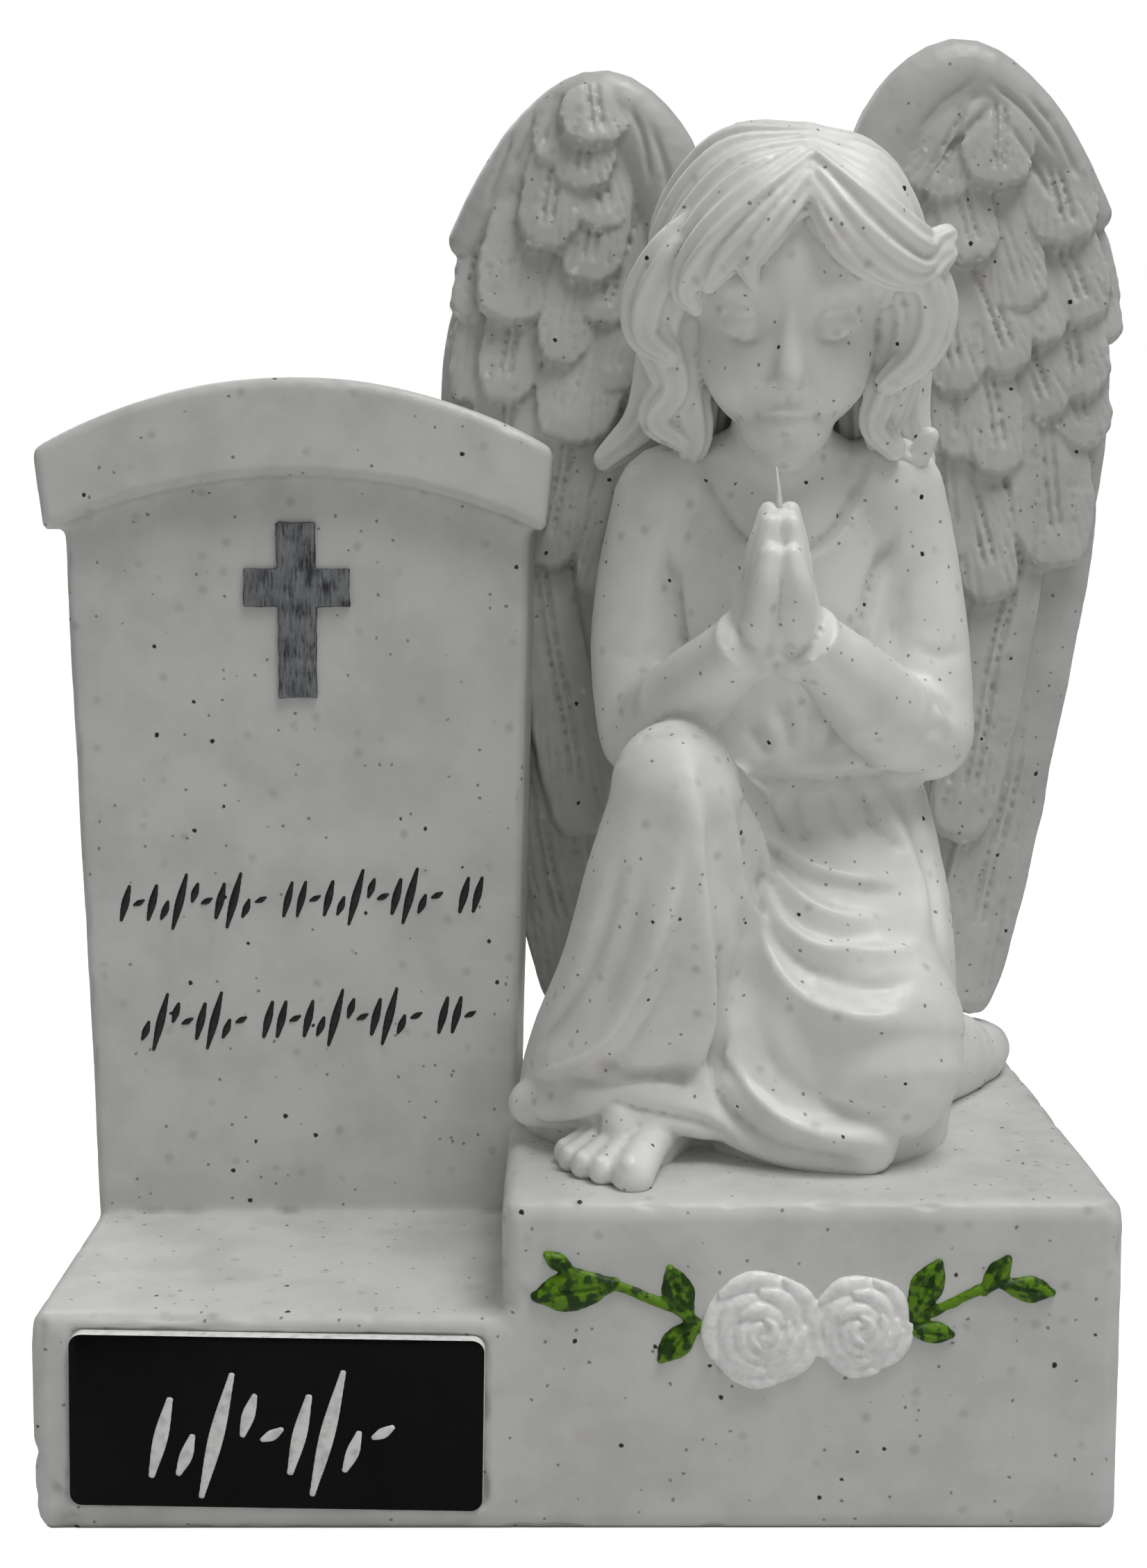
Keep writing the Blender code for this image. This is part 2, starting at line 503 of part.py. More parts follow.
# Each feather's tip in X and Z, width, length, lean in degrees and how far it stands out
right_feathers = [(50.7, 176.4, 11, 15, 28, 0.9), (61.3, 177.5, 11.4, 14, 2, 0.8),
                  (72.6, 169.6, 11, 15, -12, 1.0), (52.7, 170.4, 8.4, 15, 12, 0.1),
                  (59, 166.9, 8.8, 17, -14, 0.6), (66.4, 160.2, 10, 21, -18, 0.2),
                  (75.6, 158.3, 10.2, 19, -16, 0.9), (52.4, 155.4, 8.4, 19, -4, 0.2),
                  (57, 147.7, 9, 23, -12, 0.7), (64.6, 150.8, 8.8, 21, -18, 0.8), (70, 155.3, 8, 17, -14, 0.1),
                  (75.2, 147.2, 10.2, 20, -10, 0.7), (79.3, 155.7, 5.2, 18, -8, -0.4),
                  (50, 147.4, 8, 20, 0, 0.0), (51.8, 138.6, 8, 21, 0, 0.3), (57.5, 138.2, 8.6, 21, -4, 0.4),
                  (63, 136.0, 8.8, 23, -8, 0.9), (70.3, 144.0, 9, 18, -16, 0.0),
                  (76.2, 140.2, 9.6, 19, -10, 0.4), (56.4, 123.6, 8.4, 28, -5, 0.0),
                  (62.6, 117.3, 9.8, 33, -12, 0.6), (72, 122.2, 13.2, 32, -5, 1.0), (53, 100, 8, 40, 5, 0.0),
                  (57.6, 81.2, 10.6, 50, 11, 0.9), (58.6, 54.5, 12.4, 84, 12, 0.1), (54.6, 63, 9, 62, 8, -0.5)]
left_feathers = [(3.1, 183.3, 10.4, 9.6, -2, 0.9), (-3.8, 180.5, 8, 13, 20, 0.4), (0.8, 177, 9.6, 13, 5, 0.4),
                 (3.9, 171.3, 8.6, 15, 0, 0.1), (-4.6, 168.7, 9.6, 20, 10, 0.9),
                 (1.6, 163.8, 10.2, 19, 10, 0.5), (-10.4, 158.2, 11.2, 22, 12, 0.9),
                 (3.1, 157.9, 9, 18, 20, 0.0), (-2.5, 152, 8.4, 20, 12, 0.6), (8, 153, 7.4, 15, 20, 0.3),
                 (4.7, 148, 8.4, 20, 15, 0.7), (9.8, 146.4, 7.4, 16, 10, 0.0),
                 (-10.8, 146.7, 9.2, 20, 10, 0.2), (-0.9, 140.6, 13, 22, 12, 0.6),
                 (-16.4, 159, 5.6, 19, 13, -0.4), (-16.4, 147, 6, 21, 9, -0.3), (-4.6, 122, 10, 31, 10, 0.3),
                 (3.2, 118, 9.4, 33, 12, 0.8), (-12, 124, 12, 31, 6, 0.6), (8.2, 130, 7.6, 26, 8, 0.1),
                 (1.4, 82, 10.2, 48, -9, 0.9), (0.6, 55.5, 11.8, 82, -11, 0.1), (4.6, 64, 8.4, 60, -7, -0.5)]
feather_half = 1.5
feather_lift = 2.8


def lay_feather(bm, tip, width, length, lean):
    """A long plate with a squarish tip, which stands forward of the feathers below it."""
    form = bmesh.new()
    bmesh.ops.create_uvsphere(form, u_segments=20, v_segments=16, radius=1)
    power = 2.0 + 0.35 * length / width
    for vert in form.verts:
        turn = math.atan2(vert.co.z, vert.co.x)
        square = (abs(math.cos(turn)) ** power + abs(math.sin(turn)) ** power) ** (-1 / power)
        vert.co.y = max(-1, min(1, vert.co.y * 3.2)) * (1 + 0.3 * (1 - min(1, vert.co.x**2)) * (vert.co.y < 0))
        vert.co.x *= square * (1 - 0.08 * vert.co.z)
        vert.co.z = vert.co.z * square + 1
    size = Matrix.Diagonal((width / 2, feather_half, length / 2, 1))
    raised = Euler((-math.atan(feather_lift / length), math.radians(lean), 0)).to_matrix().to_4x4()
    bmesh.ops.transform(form, matrix=Matrix.Translation(tip) @ raised @ size, verts=form.verts)
    lay(bm, form)


def lay_wing(bm, side):
    """side is 1 for the wing at +X and -1 for the other, which is a little lower and narrower."""
    drop = 0 if side > 0 else 0.03
    narrow = 1.0 if side > 0 else 0.95

    def placed(u, y, z):
        return wing_centre + side * u * narrow, y, z - drop * (z - 44)

    def front(u, z):
        """How far forward the blade's face is."""
        heights = [s[2] for s in wing_blade]
        middle, half, through = (np.interp(z, heights, [s[i] for s in wing_blade]) for i in (0, 3, 4))
        share = min(0.9, abs(u - middle) / half)
        return 26.5 - through * math.sqrt(1 - share**2)

    def row(stations):
        return [(*placed(*s[:3]), *s[3:]) for s in stations]

    sweep(bm, row(wing_blade), level=True)
    sweep(bm, row(wing_edge), sides=14)
    sweep(bm, row(wing_root))
    for x, z, width, length, lean, out in right_feathers if side > 0 else left_feathers:
        u, level = abs(x - wing_centre) / narrow, (z - 44 * drop) / (1 - drop)
        lay_feather(bm, (x, front(u, level) - 0.9 - out, z), width, length, lean)


# Sculpting
def fused(bm, voxel, steps):
    """One closed skin over all the shapes, softened."""
    clay = new_object("clay", bm)
    remesh = clay.modifiers.new("skin", "REMESH")
    remesh.mode = "VOXEL"
    remesh.voxel_size = voxel
    soften = clay.modifiers.new("soften", "SMOOTH")
    soften.factor = 0.5
    soften.iterations = steps
    return applied(clay)


def with_mesh(bm, made):
    """Adds the object's mesh to bm and removes the object."""
    bm.from_mesh(made.data)
    bpy.data.objects.remove(made)
    return bm


def carve(clay, strokes):
    """Raises ridges and presses grooves along strokes drawn in the front view."""
    mesh = clay.data
    count = len(mesh.vertices)
    spots, outward = np.empty(count * 3), np.empty(count * 3)
    mesh.vertices.foreach_get("co", spots)
    mesh.vertices.foreach_get("normal", outward)
    spots, outward = spots.reshape(-1, 3), outward.reshape(-1, 3)
    skin = BVHTree.FromPolygons([v.co for v in mesh.vertices], [tuple(p.vertices) for p in mesh.polygons])
    moved = spots.copy()
    for points, width, height in strokes:
        drawn = smooth_line(points, 6) if len(points) > 1 else points
        hits = [skin.ray_cast(Vector((x, -100, z)), Vector((0, 1, 0)))[0] for x, z in drawn]
        line = np.array([hit for hit in hits if hit is not None])
        near = np.all((spots > line.min(0) - 2.5 * width) & (spots < line.max(0) + 2.5 * width), axis=1)
        picked = np.nonzero(near)[0]
        gap = np.full(len(picked), 1e9)
        along = np.zeros(len(picked))
        for i, (a, b) in enumerate(zip(line, line[1:] if len(line) > 1 else line)):
            step = b - a
            t = np.clip((spots[picked] - a) @ step / max(step @ step, 1e-9), 0, 1)
            reach = np.linalg.norm(spots[picked] - a - t[:, None] * step, axis=1)
            along = np.where(reach < gap, (i + t) / max(1, len(line) - 1), along)
            gap = np.minimum(gap, reach)
        fade = np.minimum(1, np.minimum(along, 1 - along) * 6 + 0.25) if len(line) > 1 else 1
        moved[picked] += outward[picked] * (height * fade * np.exp(-(gap / width) ** 2))[:, None]
    mesh.vertices.foreach_set("co", moved.ravel())
    mesh.update()


def thinned(made, triangles):
    made.data.calc_loop_triangles()
    thin = made.modifiers.new("thin", "DECIMATE")
    thin.ratio = triangles / len(made.data.loop_triangles)
    thin.use_collapse_triangulate = True
    return applied(made)


def make_angel():
    head = make_head(head_voxel, 5)
    bm = bmesh.new()
    lay_body(bm)
    lay_hands(bm)
    lay_dress(bm)
    lay_feet(bm)
    for side in (1, -1):
        lay_wing(bm, side)
    angel = fused(with_mesh(bm, head), clay_voxel, 2)
    carve(angel, dress_strokes)
    thinned(angel, figure_triangles)
    scale = figure_height / design_height
    stand = Matrix.Translation((block_centre, 0, block_height)) @ Matrix.Scale(scale, 4)
    angel.data.transform(stand @ Matrix.Translation(-design_foot))
    return angel


# Roses and leaves, in millimetres across and up the block's front
roses = [((23.8, 27.3), 7.8), ((36.4, 27.8), 6.8)]
stems = [[(18, 26), (13.5, 29.5), (7.5, 32.2), (3, 33.8), (-1, 35)],
         [(41, 27.5), (46.5, 30), (51.5, 32.6)]]
leaves = [((-0.5, 35), (-3.7, 37.2)), ((4.8, 33.3), (-5, 31.6)), ((14.4, 28.6), (12, 35.3)), ((15.4, 28.2), (10.9, 23.3)),
          ((42.9, 29.1), (46.2, 36)), ((42.9, 27.2), (48, 26.6)), ((52.1, 32.2), (55, 36.6)), ((54.5, 33), (60.6, 32.2))]


def lay_rose(bm, centre, radius, front):
    """A flat bloom: rings of cupped petals round a small bud."""
    x, z = centre
    high = (rose_relief / mm - 0.9) / 1.5
    ball(bm, (x, front + 0.2, z), (radius * 0.94, 1.4, radius * 0.94))
    for reach, count, size, lift in ((0.74, 7, 0.4, 0.4), (0.46, 5, 0.34, 1.0), (0.2, 3, 0.26, 1.5)):
        for i in range(count):
            turn = 2 * math.pi * (i + reach) / count
            petal = []
            for swing in (-1, -0.5, 0, 0.5, 1):
                a = turn + swing * 3.6 / count
                out = radius * (reach + 0.1 * swing)
                petal.append((x + out * math.cos(a), front - lift * high - 0.25 * swing, z + out * math.sin(a),
                              radius * 0.09, 1.0))
            sweep(bm, petal, sides=10, per_span=2)
    ball(bm, (x, front - 1.4, z), (radius * 0.13, 0.9, radius * 0.13))


def make_sprig():
    front = plinth_front / mm
    bm = bmesh.new()
    for centre, radius in roses:
        lay_rose(bm, centre, radius, front)
    for stem in stems:
        sweep(bm, [(x, front + 0.1, z, stem_width / mm / 2 + 0.15) for x, z in stem], sides=12)
    for base, tip in leaves:
        (x0, z0), (x1, z1) = base, tip
        long = math.hypot(x1 - x0, z1 - z0)
        steps = [(0, 0.5), (0.3, 1.5), (0.6, 1.9), (0.85, 1.2), (1, 0.4)]
        sweep(bm, [(x0 + (x1 - x0) * t, front + 0.3, z0 + (z1 - z0) * t, half * long / 7 + 0.2, leaf_relief / mm + 0.3)
                   for t, half in steps], sides=12)
    sprig = fused(bm, 0.4, 1)
    thinned(sprig, 3 * rose_triangles)
    sprig.data.transform(Matrix.Scale(mm, 4))
    return sprig


def build():
    memorial = make_plinth()
    combined(memorial, make_headstone())
    combined(memorial, make_cross())
    combined(memorial, make_recess(), "DIFFERENCE")
    combined(memorial, make_sprig())
    combined(memorial, make_angel())
    memorial.name = "memorial_casting"
    memorial.data.name = memorial.name
    memorial.data.materials.clear()
    memorial.data.materials.append(marble_resin)
    plaque = make_plaque()
    plaque.data.materials.append(black_laminate)
    for made in (memorial, plaque):
        made.data.shade_smooth()
        made.data.set_sharp_from_angle(angle=math.radians(35))


build()
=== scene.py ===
import math

import bmesh
import bpy
import numpy as np
from mathutils import Euler, Matrix, Vector, noise
from mathutils.bvhtree import BVHTree


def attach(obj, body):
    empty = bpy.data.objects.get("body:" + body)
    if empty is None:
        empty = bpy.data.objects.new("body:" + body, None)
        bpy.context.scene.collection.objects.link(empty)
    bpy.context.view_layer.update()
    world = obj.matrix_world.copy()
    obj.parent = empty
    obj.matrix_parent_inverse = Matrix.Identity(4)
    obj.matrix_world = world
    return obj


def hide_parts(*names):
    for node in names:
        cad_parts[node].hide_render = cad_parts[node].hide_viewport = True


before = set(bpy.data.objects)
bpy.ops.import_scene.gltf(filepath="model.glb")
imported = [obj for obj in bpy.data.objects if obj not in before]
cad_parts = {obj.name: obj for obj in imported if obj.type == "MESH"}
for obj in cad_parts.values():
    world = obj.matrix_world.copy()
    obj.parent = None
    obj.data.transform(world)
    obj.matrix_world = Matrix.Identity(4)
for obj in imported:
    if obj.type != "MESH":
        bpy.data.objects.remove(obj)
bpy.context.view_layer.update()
print("frame loaded")

# Lengths are in millimetres until a piece is finished, and metres after that.
# The front faces -Y, the origin is the middle of the plinth's underside.
mm = 0.001
stage = bpy.data.collections.new("memorial")
bpy.context.scene.collection.children.link(stage)


def newPiece(name, bm):
    mesh = bpy.data.meshes.new(name)
    bm.to_mesh(mesh)
    bm.free()
    piece = bpy.data.objects.new(name, mesh)
    stage.objects.link(piece)
    return piece


def applied(piece):
    graph = bpy.context.evaluated_depsgraph_get()
    mesh = bpy.data.meshes.new_from_object(piece.evaluated_get(graph), depsgraph=graph)
    piece.modifiers.clear()
    piece.data = mesh
    return piece


def bevelled(piece, width, segments=3, angle=35):
    bevel = piece.modifiers.new("edge", "BEVEL")
    bevel.width = width
    bevel.segments = segments
    bevel.limit_method = "ANGLE"
    bevel.angle_limit = math.radians(angle)
    return applied(piece)


def combined(piece, other, operation="UNION"):
    boolean = piece.modifiers.new("combine", "BOOLEAN")
    boolean.operation = operation
    boolean.object = other
    bpy.context.view_layer.update()
    applied(piece)
    bpy.data.objects.remove(other)
    return piece


def finished(piece, node, material, angle=0):
    piece.data.transform(Matrix.Scale(mm, 4))
    piece.data.materials.clear()
    for each in material if isinstance(material, list) else [material]:
        piece.data.materials.append(each)
    piece.data.shade_smooth()
    if angle:
        piece.data.set_sharp_from_angle(angle=math.radians(angle))
    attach(piece, "root")
    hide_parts(node)
    print("piece", piece.name, len(piece.data.polygons), "faces")
    return piece


def finishedCasting(piece, material):
    return finished(piece, "memorial_casting", material)


# Forms: each is a small closed mesh, and a list of them is fused into one skin
def taken(bm):
    mesh = bpy.data.meshes.new("form")
    bm.to_mesh(mesh)
    bm.free()
    return mesh


def smoothLine(points, perSpan=4):
    rows = [np.array(p, float) for p in points]
    rows = [2 * rows[0] - rows[1]] + rows + [2 * rows[-1] - rows[-2]]
    line = []
    for a, b, c, d in zip(rows, rows[1:], rows[2:], rows[3:]):
        for i in range(perSpan):
            t = i / perSpan
            line.append(0.5 * (2 * b + (c - a) * t + (2 * a - 5 * b + 4 * c - d) * t**2
                               + (3 * b - a - 3 * c + d) * t**3))
    line.append(rows[-2])
    return line


# A round-ended form through stations of x, y, z, radius across and radius through.
# Lobes give it strands that run lengthwise.
def sweep(stations, level=False, sides=28, perSpan=5, lobes=0, depth=0.13, twist=0.0):
    line = smoothLine([s if len(s) == 5 else (*s, s[3]) for s in stations], perSpan)
    spots = [Vector(row[:3]) for row in line]
    rings = []
    for i, row in enumerate(line):
        along = (spots[min(i + 1, len(line) - 1)] - spots[max(i - 1, 0)]).normalized()
        rings.append((spots[i], along, row[3], row[4]))
    for end in (0, -1):
        spot, along, across, through = rings[end]
        out = -along if end == 0 else along
        reach = min(across, through)
        caps = [(spot + out * reach * math.sin(a), along, across * math.cos(a), through * math.cos(a))
                for a in (0.4, 0.8, 1.15, 1.45)]
        rings = caps[::-1] + rings if end == 0 else rings + caps
    bm = bmesh.new()
    loops = []
    for index, (spot, along, across, through) in enumerate(rings):
        if level:
            turned = Matrix.Identity(4)
        else:
            side = along.cross(Vector((0, 1, 0)))
            side = side.normalized() if side.length > 0.1 else Vector((1, 0, 0))
            turned = Matrix((side, side.cross(along), -along)).transposed().to_4x4()
        size = Matrix.Diagonal((max(across, 0.05), max(through, 0.05), 1, 1))
        placed = Matrix.Translation(spot) @ turned @ size
        made = bmesh.ops.create_circle(bm, segments=sides, radius=1)
        for vert in made["verts"]:
            if lobes:
                turn = math.atan2(vert.co.y, vert.co.x)
                vert.co *= 1 + depth * math.cos(lobes * turn + twist * index)
            vert.co = placed @ vert.co
        loops.append({e for v in made["verts"] for e in v.link_edges})
    for i in (0, -1):
        bmesh.ops.contextual_create(bm, geom=list(loops[i]))
    for first, second in zip(loops, loops[1:]):
        bmesh.ops.bridge_loops(bm, edges=list(first | second))
    bmesh.ops.recalc_face_normals(bm, faces=bm.faces)
    return taken(bm)


def ball(centre, size, turn=(0, 0, 0)):
    radii = (size, size, size) if isinstance(size, (int, float)) else size
    turned = Euler([math.radians(a) for a in turn]).to_matrix().to_4x4()
    bm = bmesh.new()
    placed = Matrix.Translation(centre) @ turned @ Matrix.Diagonal((*radii, 1))
    bmesh.ops.create_icosphere(bm, subdivisions=4, radius=1, matrix=placed)
    return taken(bm)


def mirrored(stations, about):
    return [(2 * about - s[0], *s[1:]) for s in stations]


# Each skin's voxel size and smoothing steps, the most triangles it keeps, and its casting marks:
# the height and size of slow waves, and of a fine grain
skins = {
    "stone": (0.6, 1, 160000), "body": (0.62, 5), "figure": (0.5, 1, 160000, 0.14, 9, 0.05, 1.8),
    "skull": (0.45, 14), "face": (0.34, 3), "head": (0.34, 1, 150000, 0.1, 7, 0.03, 1.5),
    "wing": (0.35, 1, 150000, 0.12, 8, 0.05, 1.6), "roses": (0.2, 3, 60000, 0.14, 2.2, 0.05, 0.7),
    "leaves": (0.2, 2, 40000, 0.15, 1.5, 0.05, 0.6), "cross": (0.2, 2, 30000, 0.16, 2.4, 0.06, 0.7),
    "inscription": (0.16, 1, 50000), "plaqueStrokes": (0.18, 1, 30000),
}


def skinned(piece, kind):
    remesh = piece.modifiers.new("skin", "REMESH")
    remesh.mode = "VOXEL"
    remesh.voxel_size, steps = skins[kind][:2]
    soften = piece.modifiers.new("soften", "SMOOTH")
    soften.factor = 0.5
    soften.iterations = steps
    return applied(piece)


def fused(name, forms, kind):
    bm = bmesh.new()
    for form in forms:
        bm.from_mesh(form)
        bpy.data.meshes.remove(form)
    return skinned(newPiece(name, bm), kind)


# The mesh of a fused piece, as a form for the next one
def asForm(piece):
    mesh = piece.data
    bpy.data.objects.remove(piece)
    return mesh


def thinned(piece, kind):
    piece.data.calc_loop_triangles()
    share = skins[kind][2] / len(piece.data.loop_triangles)
    if share >= 1:
        return piece
    thin = piece.modifiers.new("thin", "DECIMATE")
    thin.ratio = share
    thin.use_collapse_triangulate = True
    return applied(piece)


def vertexData(mesh):
    count = len(mesh.vertices)
    spots, outward = np.empty(count * 3), np.empty(count * 3)
    mesh.vertices.foreach_get("co", spots)
    mesh.vertices.foreach_get("normal", outward)
    return spots.reshape(-1, 3), outward.reshape(-1, 3)


def moveAll(mesh, spots):
    mesh.vertices.foreach_set("co", spots.ravel())
    mesh.update()


# Raises ridges and presses grooves along strokes drawn in the front view, as X and Z. A stroke
# may end with a lean: above zero it is steep on its right or upper side and gentle on the other.
def carve(piece, strokes, sharp=2.0):
    mesh = piece.data
    spots, outward = vertexData(mesh)
    skin = BVHTree.FromPolygons([Vector(s) for s in spots], [tuple(p.vertices) for p in mesh.polygons])
    moved = spots.copy()
    for points, width, height, *lean in strokes:
        lean = lean[0] if lean else 0
        drawn = smoothLine(points, 8) if len(points) > 1 else points
        hits = [skin.ray_cast(Vector((x, -100, z)), Vector((0, 1, 0)))[0] for x, z in drawn]
        line = np.array([hit for hit in hits if hit is not None])
        reach = (4.5 if lean else 2.8) * width
        near = np.all((spots > line.min(0) - reach) & (spots < line.max(0) + reach), axis=1)
        picked = np.nonzero(near)[0]
        gap = np.full(len(picked), 1e9)
        along = np.zeros(len(picked))
        side = np.zeros(len(picked))
        for i, (a, b) in enumerate(zip(line, line[1:] if len(line) > 1 else line)):
            step = b - a
            if step @ step > 36:
                continue
            off = spots[picked] - a
            t = np.clip(off @ step / max(step @ step, 1e-9), 0, 1)
            away = np.linalg.norm(off - t[:, None] * step, axis=1)
            along = np.where(away < gap, (i + t) / max(1, len(line) - 1), along)
            side = np.where(away < gap, np.sign(step[0] * off[:, 2] - step[2] * off[:, 0]), side)
            gap = np.minimum(gap, away)
        fade = np.minimum(1, np.minimum(along, 1 - along) * 4.5 + 0.04) if len(line) > 1 else 1
        falloff = np.exp(-(gap / (width * (1 - 0.62 * lean * side))) ** sharp)
        moved[picked] += outward[picked] * (height * fade * falloff)[:, None]
    moveAll(mesh, moved)
    return piece


def roughened(piece, kind):
    waves, waveSize, grain, grainSize = skins[kind][3:]
    spots, outward = vertexData(piece.data)
    push = np.array([waves * noise.noise(Vector(s) / waveSize) + grain * noise.noise(Vector(s) / grainSize)
                     for s in spots])
    moveAll(piece.data, spots + outward * push[:, None])
    return piece


# Materials: patterns are in millimetres on Object coordinates
def linear(code):
    values = [int(code[i:i + 2], 16) / 255 for i in (1, 3, 5)]
    return (*[v / 12.92 if v <= 0.04045 else ((v + 0.055) / 1.055) ** 2.4 for v in values], 1)


smooth = {"interpolation_type": "SMOOTHSTEP"}


class Nodes:
    def __init__(self, owner):
        owner.use_nodes = True
        self.owner, self.tree = owner, owner.node_tree
        self.place = self.add("TexCoord", {}, "Object")

    # Inputs go by name or number, and each is a value, a hex colour or another node's output
    def connect(self, node, inputs):
        for key, value in inputs.items():
            if isinstance(value, bpy.types.NodeSocket):
                self.tree.links.new(value, node.inputs[key])
            else:
                node.inputs[key].default_value = linear(value) if isinstance(value, str) else value

    def add(self, kind, inputs, output=0, **settings):
        node = self.tree.nodes.new("ShaderNode" + kind)
        for key, value in settings.items():
            setattr(node, key, value)
        self.connect(node, inputs)
        return node.outputs[output]

    # Cloudy patches, kept between two levels
    def patches(self, size, detail, low, high, start=0.0, end=1.0, rough=0.5):
        cloud = self.add("TexNoise", {"Vector": self.place, "Scale": 1 / (size * mm), "Detail": detail,
                                      "Roughness": rough})
        return self.add("MapRange", {0: cloud, 1: low, 2: high, 3: start, 4: end}, **smooth)

    # Hollows at the low end of the range and raised edges at its high end
    def edges(self, low, high, start=0.0, end=1.0):
        bend = self.add("NewGeometry", {}, "Pointiness")
        return self.add("MapRange", {0: bend, 1: low, 2: high, 3: start, 4: end}, **smooth)

    # Round spots of about the given size, in a share of the cells of a grid
    def specks(self, cell, size, share, soft, place):
        away = self.add("TexVoronoi", {"Vector": place, "Scale": 1 / (cell * mm)}, "Distance")
        radius = size / 2 / cell
        near = self.add("MapRange", {0: away, 1: radius * (1 - soft), 2: radius * (1 + soft), 3: 1, 4: 0}, **smooth)
        chosen = self.add("SeparateColor", {0: away.node.outputs["Color"]})
        picked = self.add("Math", {0: chosen, 1: share}, operation="LESS_THAN")
        return self.add("Math", {0: near, 1: picked}, operation="MULTIPLY")

    # A shade laid over a colour where a pattern is
    def tinted(self, colour, shade, pattern, strength=1.0):
        amount = self.add("Math", {0: pattern, 1: strength}, operation="MULTIPLY")
        return self.add("Mix", {0: amount, 6: colour, 7: shade}, 2, data_type="RGBA")

    def grain(self, size, detail, distance, strength, rough=0.5):
        height = self.add("TexNoise", {"Vector": self.place, "Scale": 1 / (size * mm), "Detail": detail,
                                       "Roughness": rough})
        return self.add("Bump", {"Height": height, "Strength": strength, "Distance": distance * mm})

    def look(self, inputs):
        self.connect(self.tree.nodes["Principled BSDF"], inputs)
        return self.owner


# Filled polyester resin, cast and hand rubbed: satin, slightly translucent, with stone flecks.
# The figure's copy is lighter as painted light and the wings' copy darker as painted shade: two tones and the glow.
resinTones = {"marbleResin": ("#d9d9d6", "#cbcbc8", 0.12), "litFigureResin": ("#efefec", "#e4e4e1", 0.3),
              "shadedWingResin": ("#c6c6c3", "#b8b8b5", 0.12)}
# Sunken flecks, pink grains, fine dust and dark flecks: spacing, size, share, softness,
# strength and colour
resinSpecks = [(3.1, 1.1, 0.24, 0.95, 0.34, "#85847f"), (15, 2.4, 0.3, 0.9, 0.3, "#b9a195"),
               (2.0, 0.46, 0.4, 0.4, 0.75, "#5f5e5b"), (4.3, 0.66, 0.48, 0.2, 1.0, "#161617")]


def castResin(name):
    light, dark, glow = resinTones[name]
    n = Nodes(bpy.data.materials.new(name))
    wobble = n.add("TexNoise", {"Vector": n.place, "Scale": 1 / (0.7 * mm)}, "Color")
    push = n.add("VectorMath", {0: wobble, "Scale": 0.5 * mm}, operation="SCALE")
    ragged = n.add("VectorMath", {0: n.place, 1: push}, operation="ADD")
    colour = n.tinted(light, dark, n.patches(11, 4, 0.35, 0.7, rough=0.6))
    for cell, size, share, soft, strength, shade in resinSpecks:
        colour = n.tinted(colour, shade, n.specks(cell, size, share, soft, ragged), strength)
    # Painted shade: grey laid into the hollows and creases; after it, a lighter tone on the raised edges
    colour = n.tinted(colour, "#7c7b76", n.edges(0.38, 0.5, 1, 0), 0.6)
    colour = n.tinted(colour, "#f3f3f0", n.edges(0.52, 0.62), 0.4)
    return n.look({"Base Color": colour, "Roughness": n.patches(3, 3, 0.3, 0.7, 0.36, 0.5),
                   "Normal": n.grain(0.8, 4, 0.05, 0.4, 0.6), "Subsurface Weight": glow,
                   "Subsurface Radius": (1.0, 0.95, 0.85), "Subsurface Scale": 1.2 * mm, "IOR": 1.5})


# White acrylic paint brushed thickly over the petals, black enamel in the engraved strokes and the
# white core of the plaque's laminate: two tones, their patches, roughness, grain and glow
plainPaints = {"rosePaint": ("#fbfbf9", "#ecebe9", (1.2, 4, 0.35, 0.7), 0.3, (0.5, 3, 0.06, 0.4), 0.05),
               "inkPaint": ("#0b0b0c", "#2a2a2c", (0.8, 3, 0.4, 0.8), 0.4, (0.4, 3, 0.05, 0.4), 0),
               "laminateCore": ("#f4f4f2", "#cfcdc9", (1.5, 3, 0.4, 0.8), 0.5, (0.4, 3, 0.04, 0.4), 0)}


def plainPaint(name):
    light, dark, patches, rough, grain, glow = plainPaints[name]
    n = Nodes(bpy.data.materials.new(name))
    return n.look({"Base Color": n.tinted(light, dark, n.patches(*patches)), "Roughness": rough,
                   "Normal": n.grain(*grain), "Subsurface Weight": glow, "Subsurface Scale": 0.5 * mm})


# Green acrylic paint, dark in the hollows with yellow-green strokes on top
def leafPaint():
    n = Nodes(bpy.data.materials.new("leafPaint"))
    raised = n.add("Math", {0: 0.65, 1: n.edges(0.47, 0.56)}, operation="ADD")
    colour = n.tinted("#1f3f04", "#628d12", n.patches(1.6, 3, 0.42, 0.62), raised)
    return n.look({"Base Color": colour, "Roughness": 0.42, "Specular IOR Level": 0.3,
                   "Normal": n.grain(0.5, 3, 0.08, 0.5)})


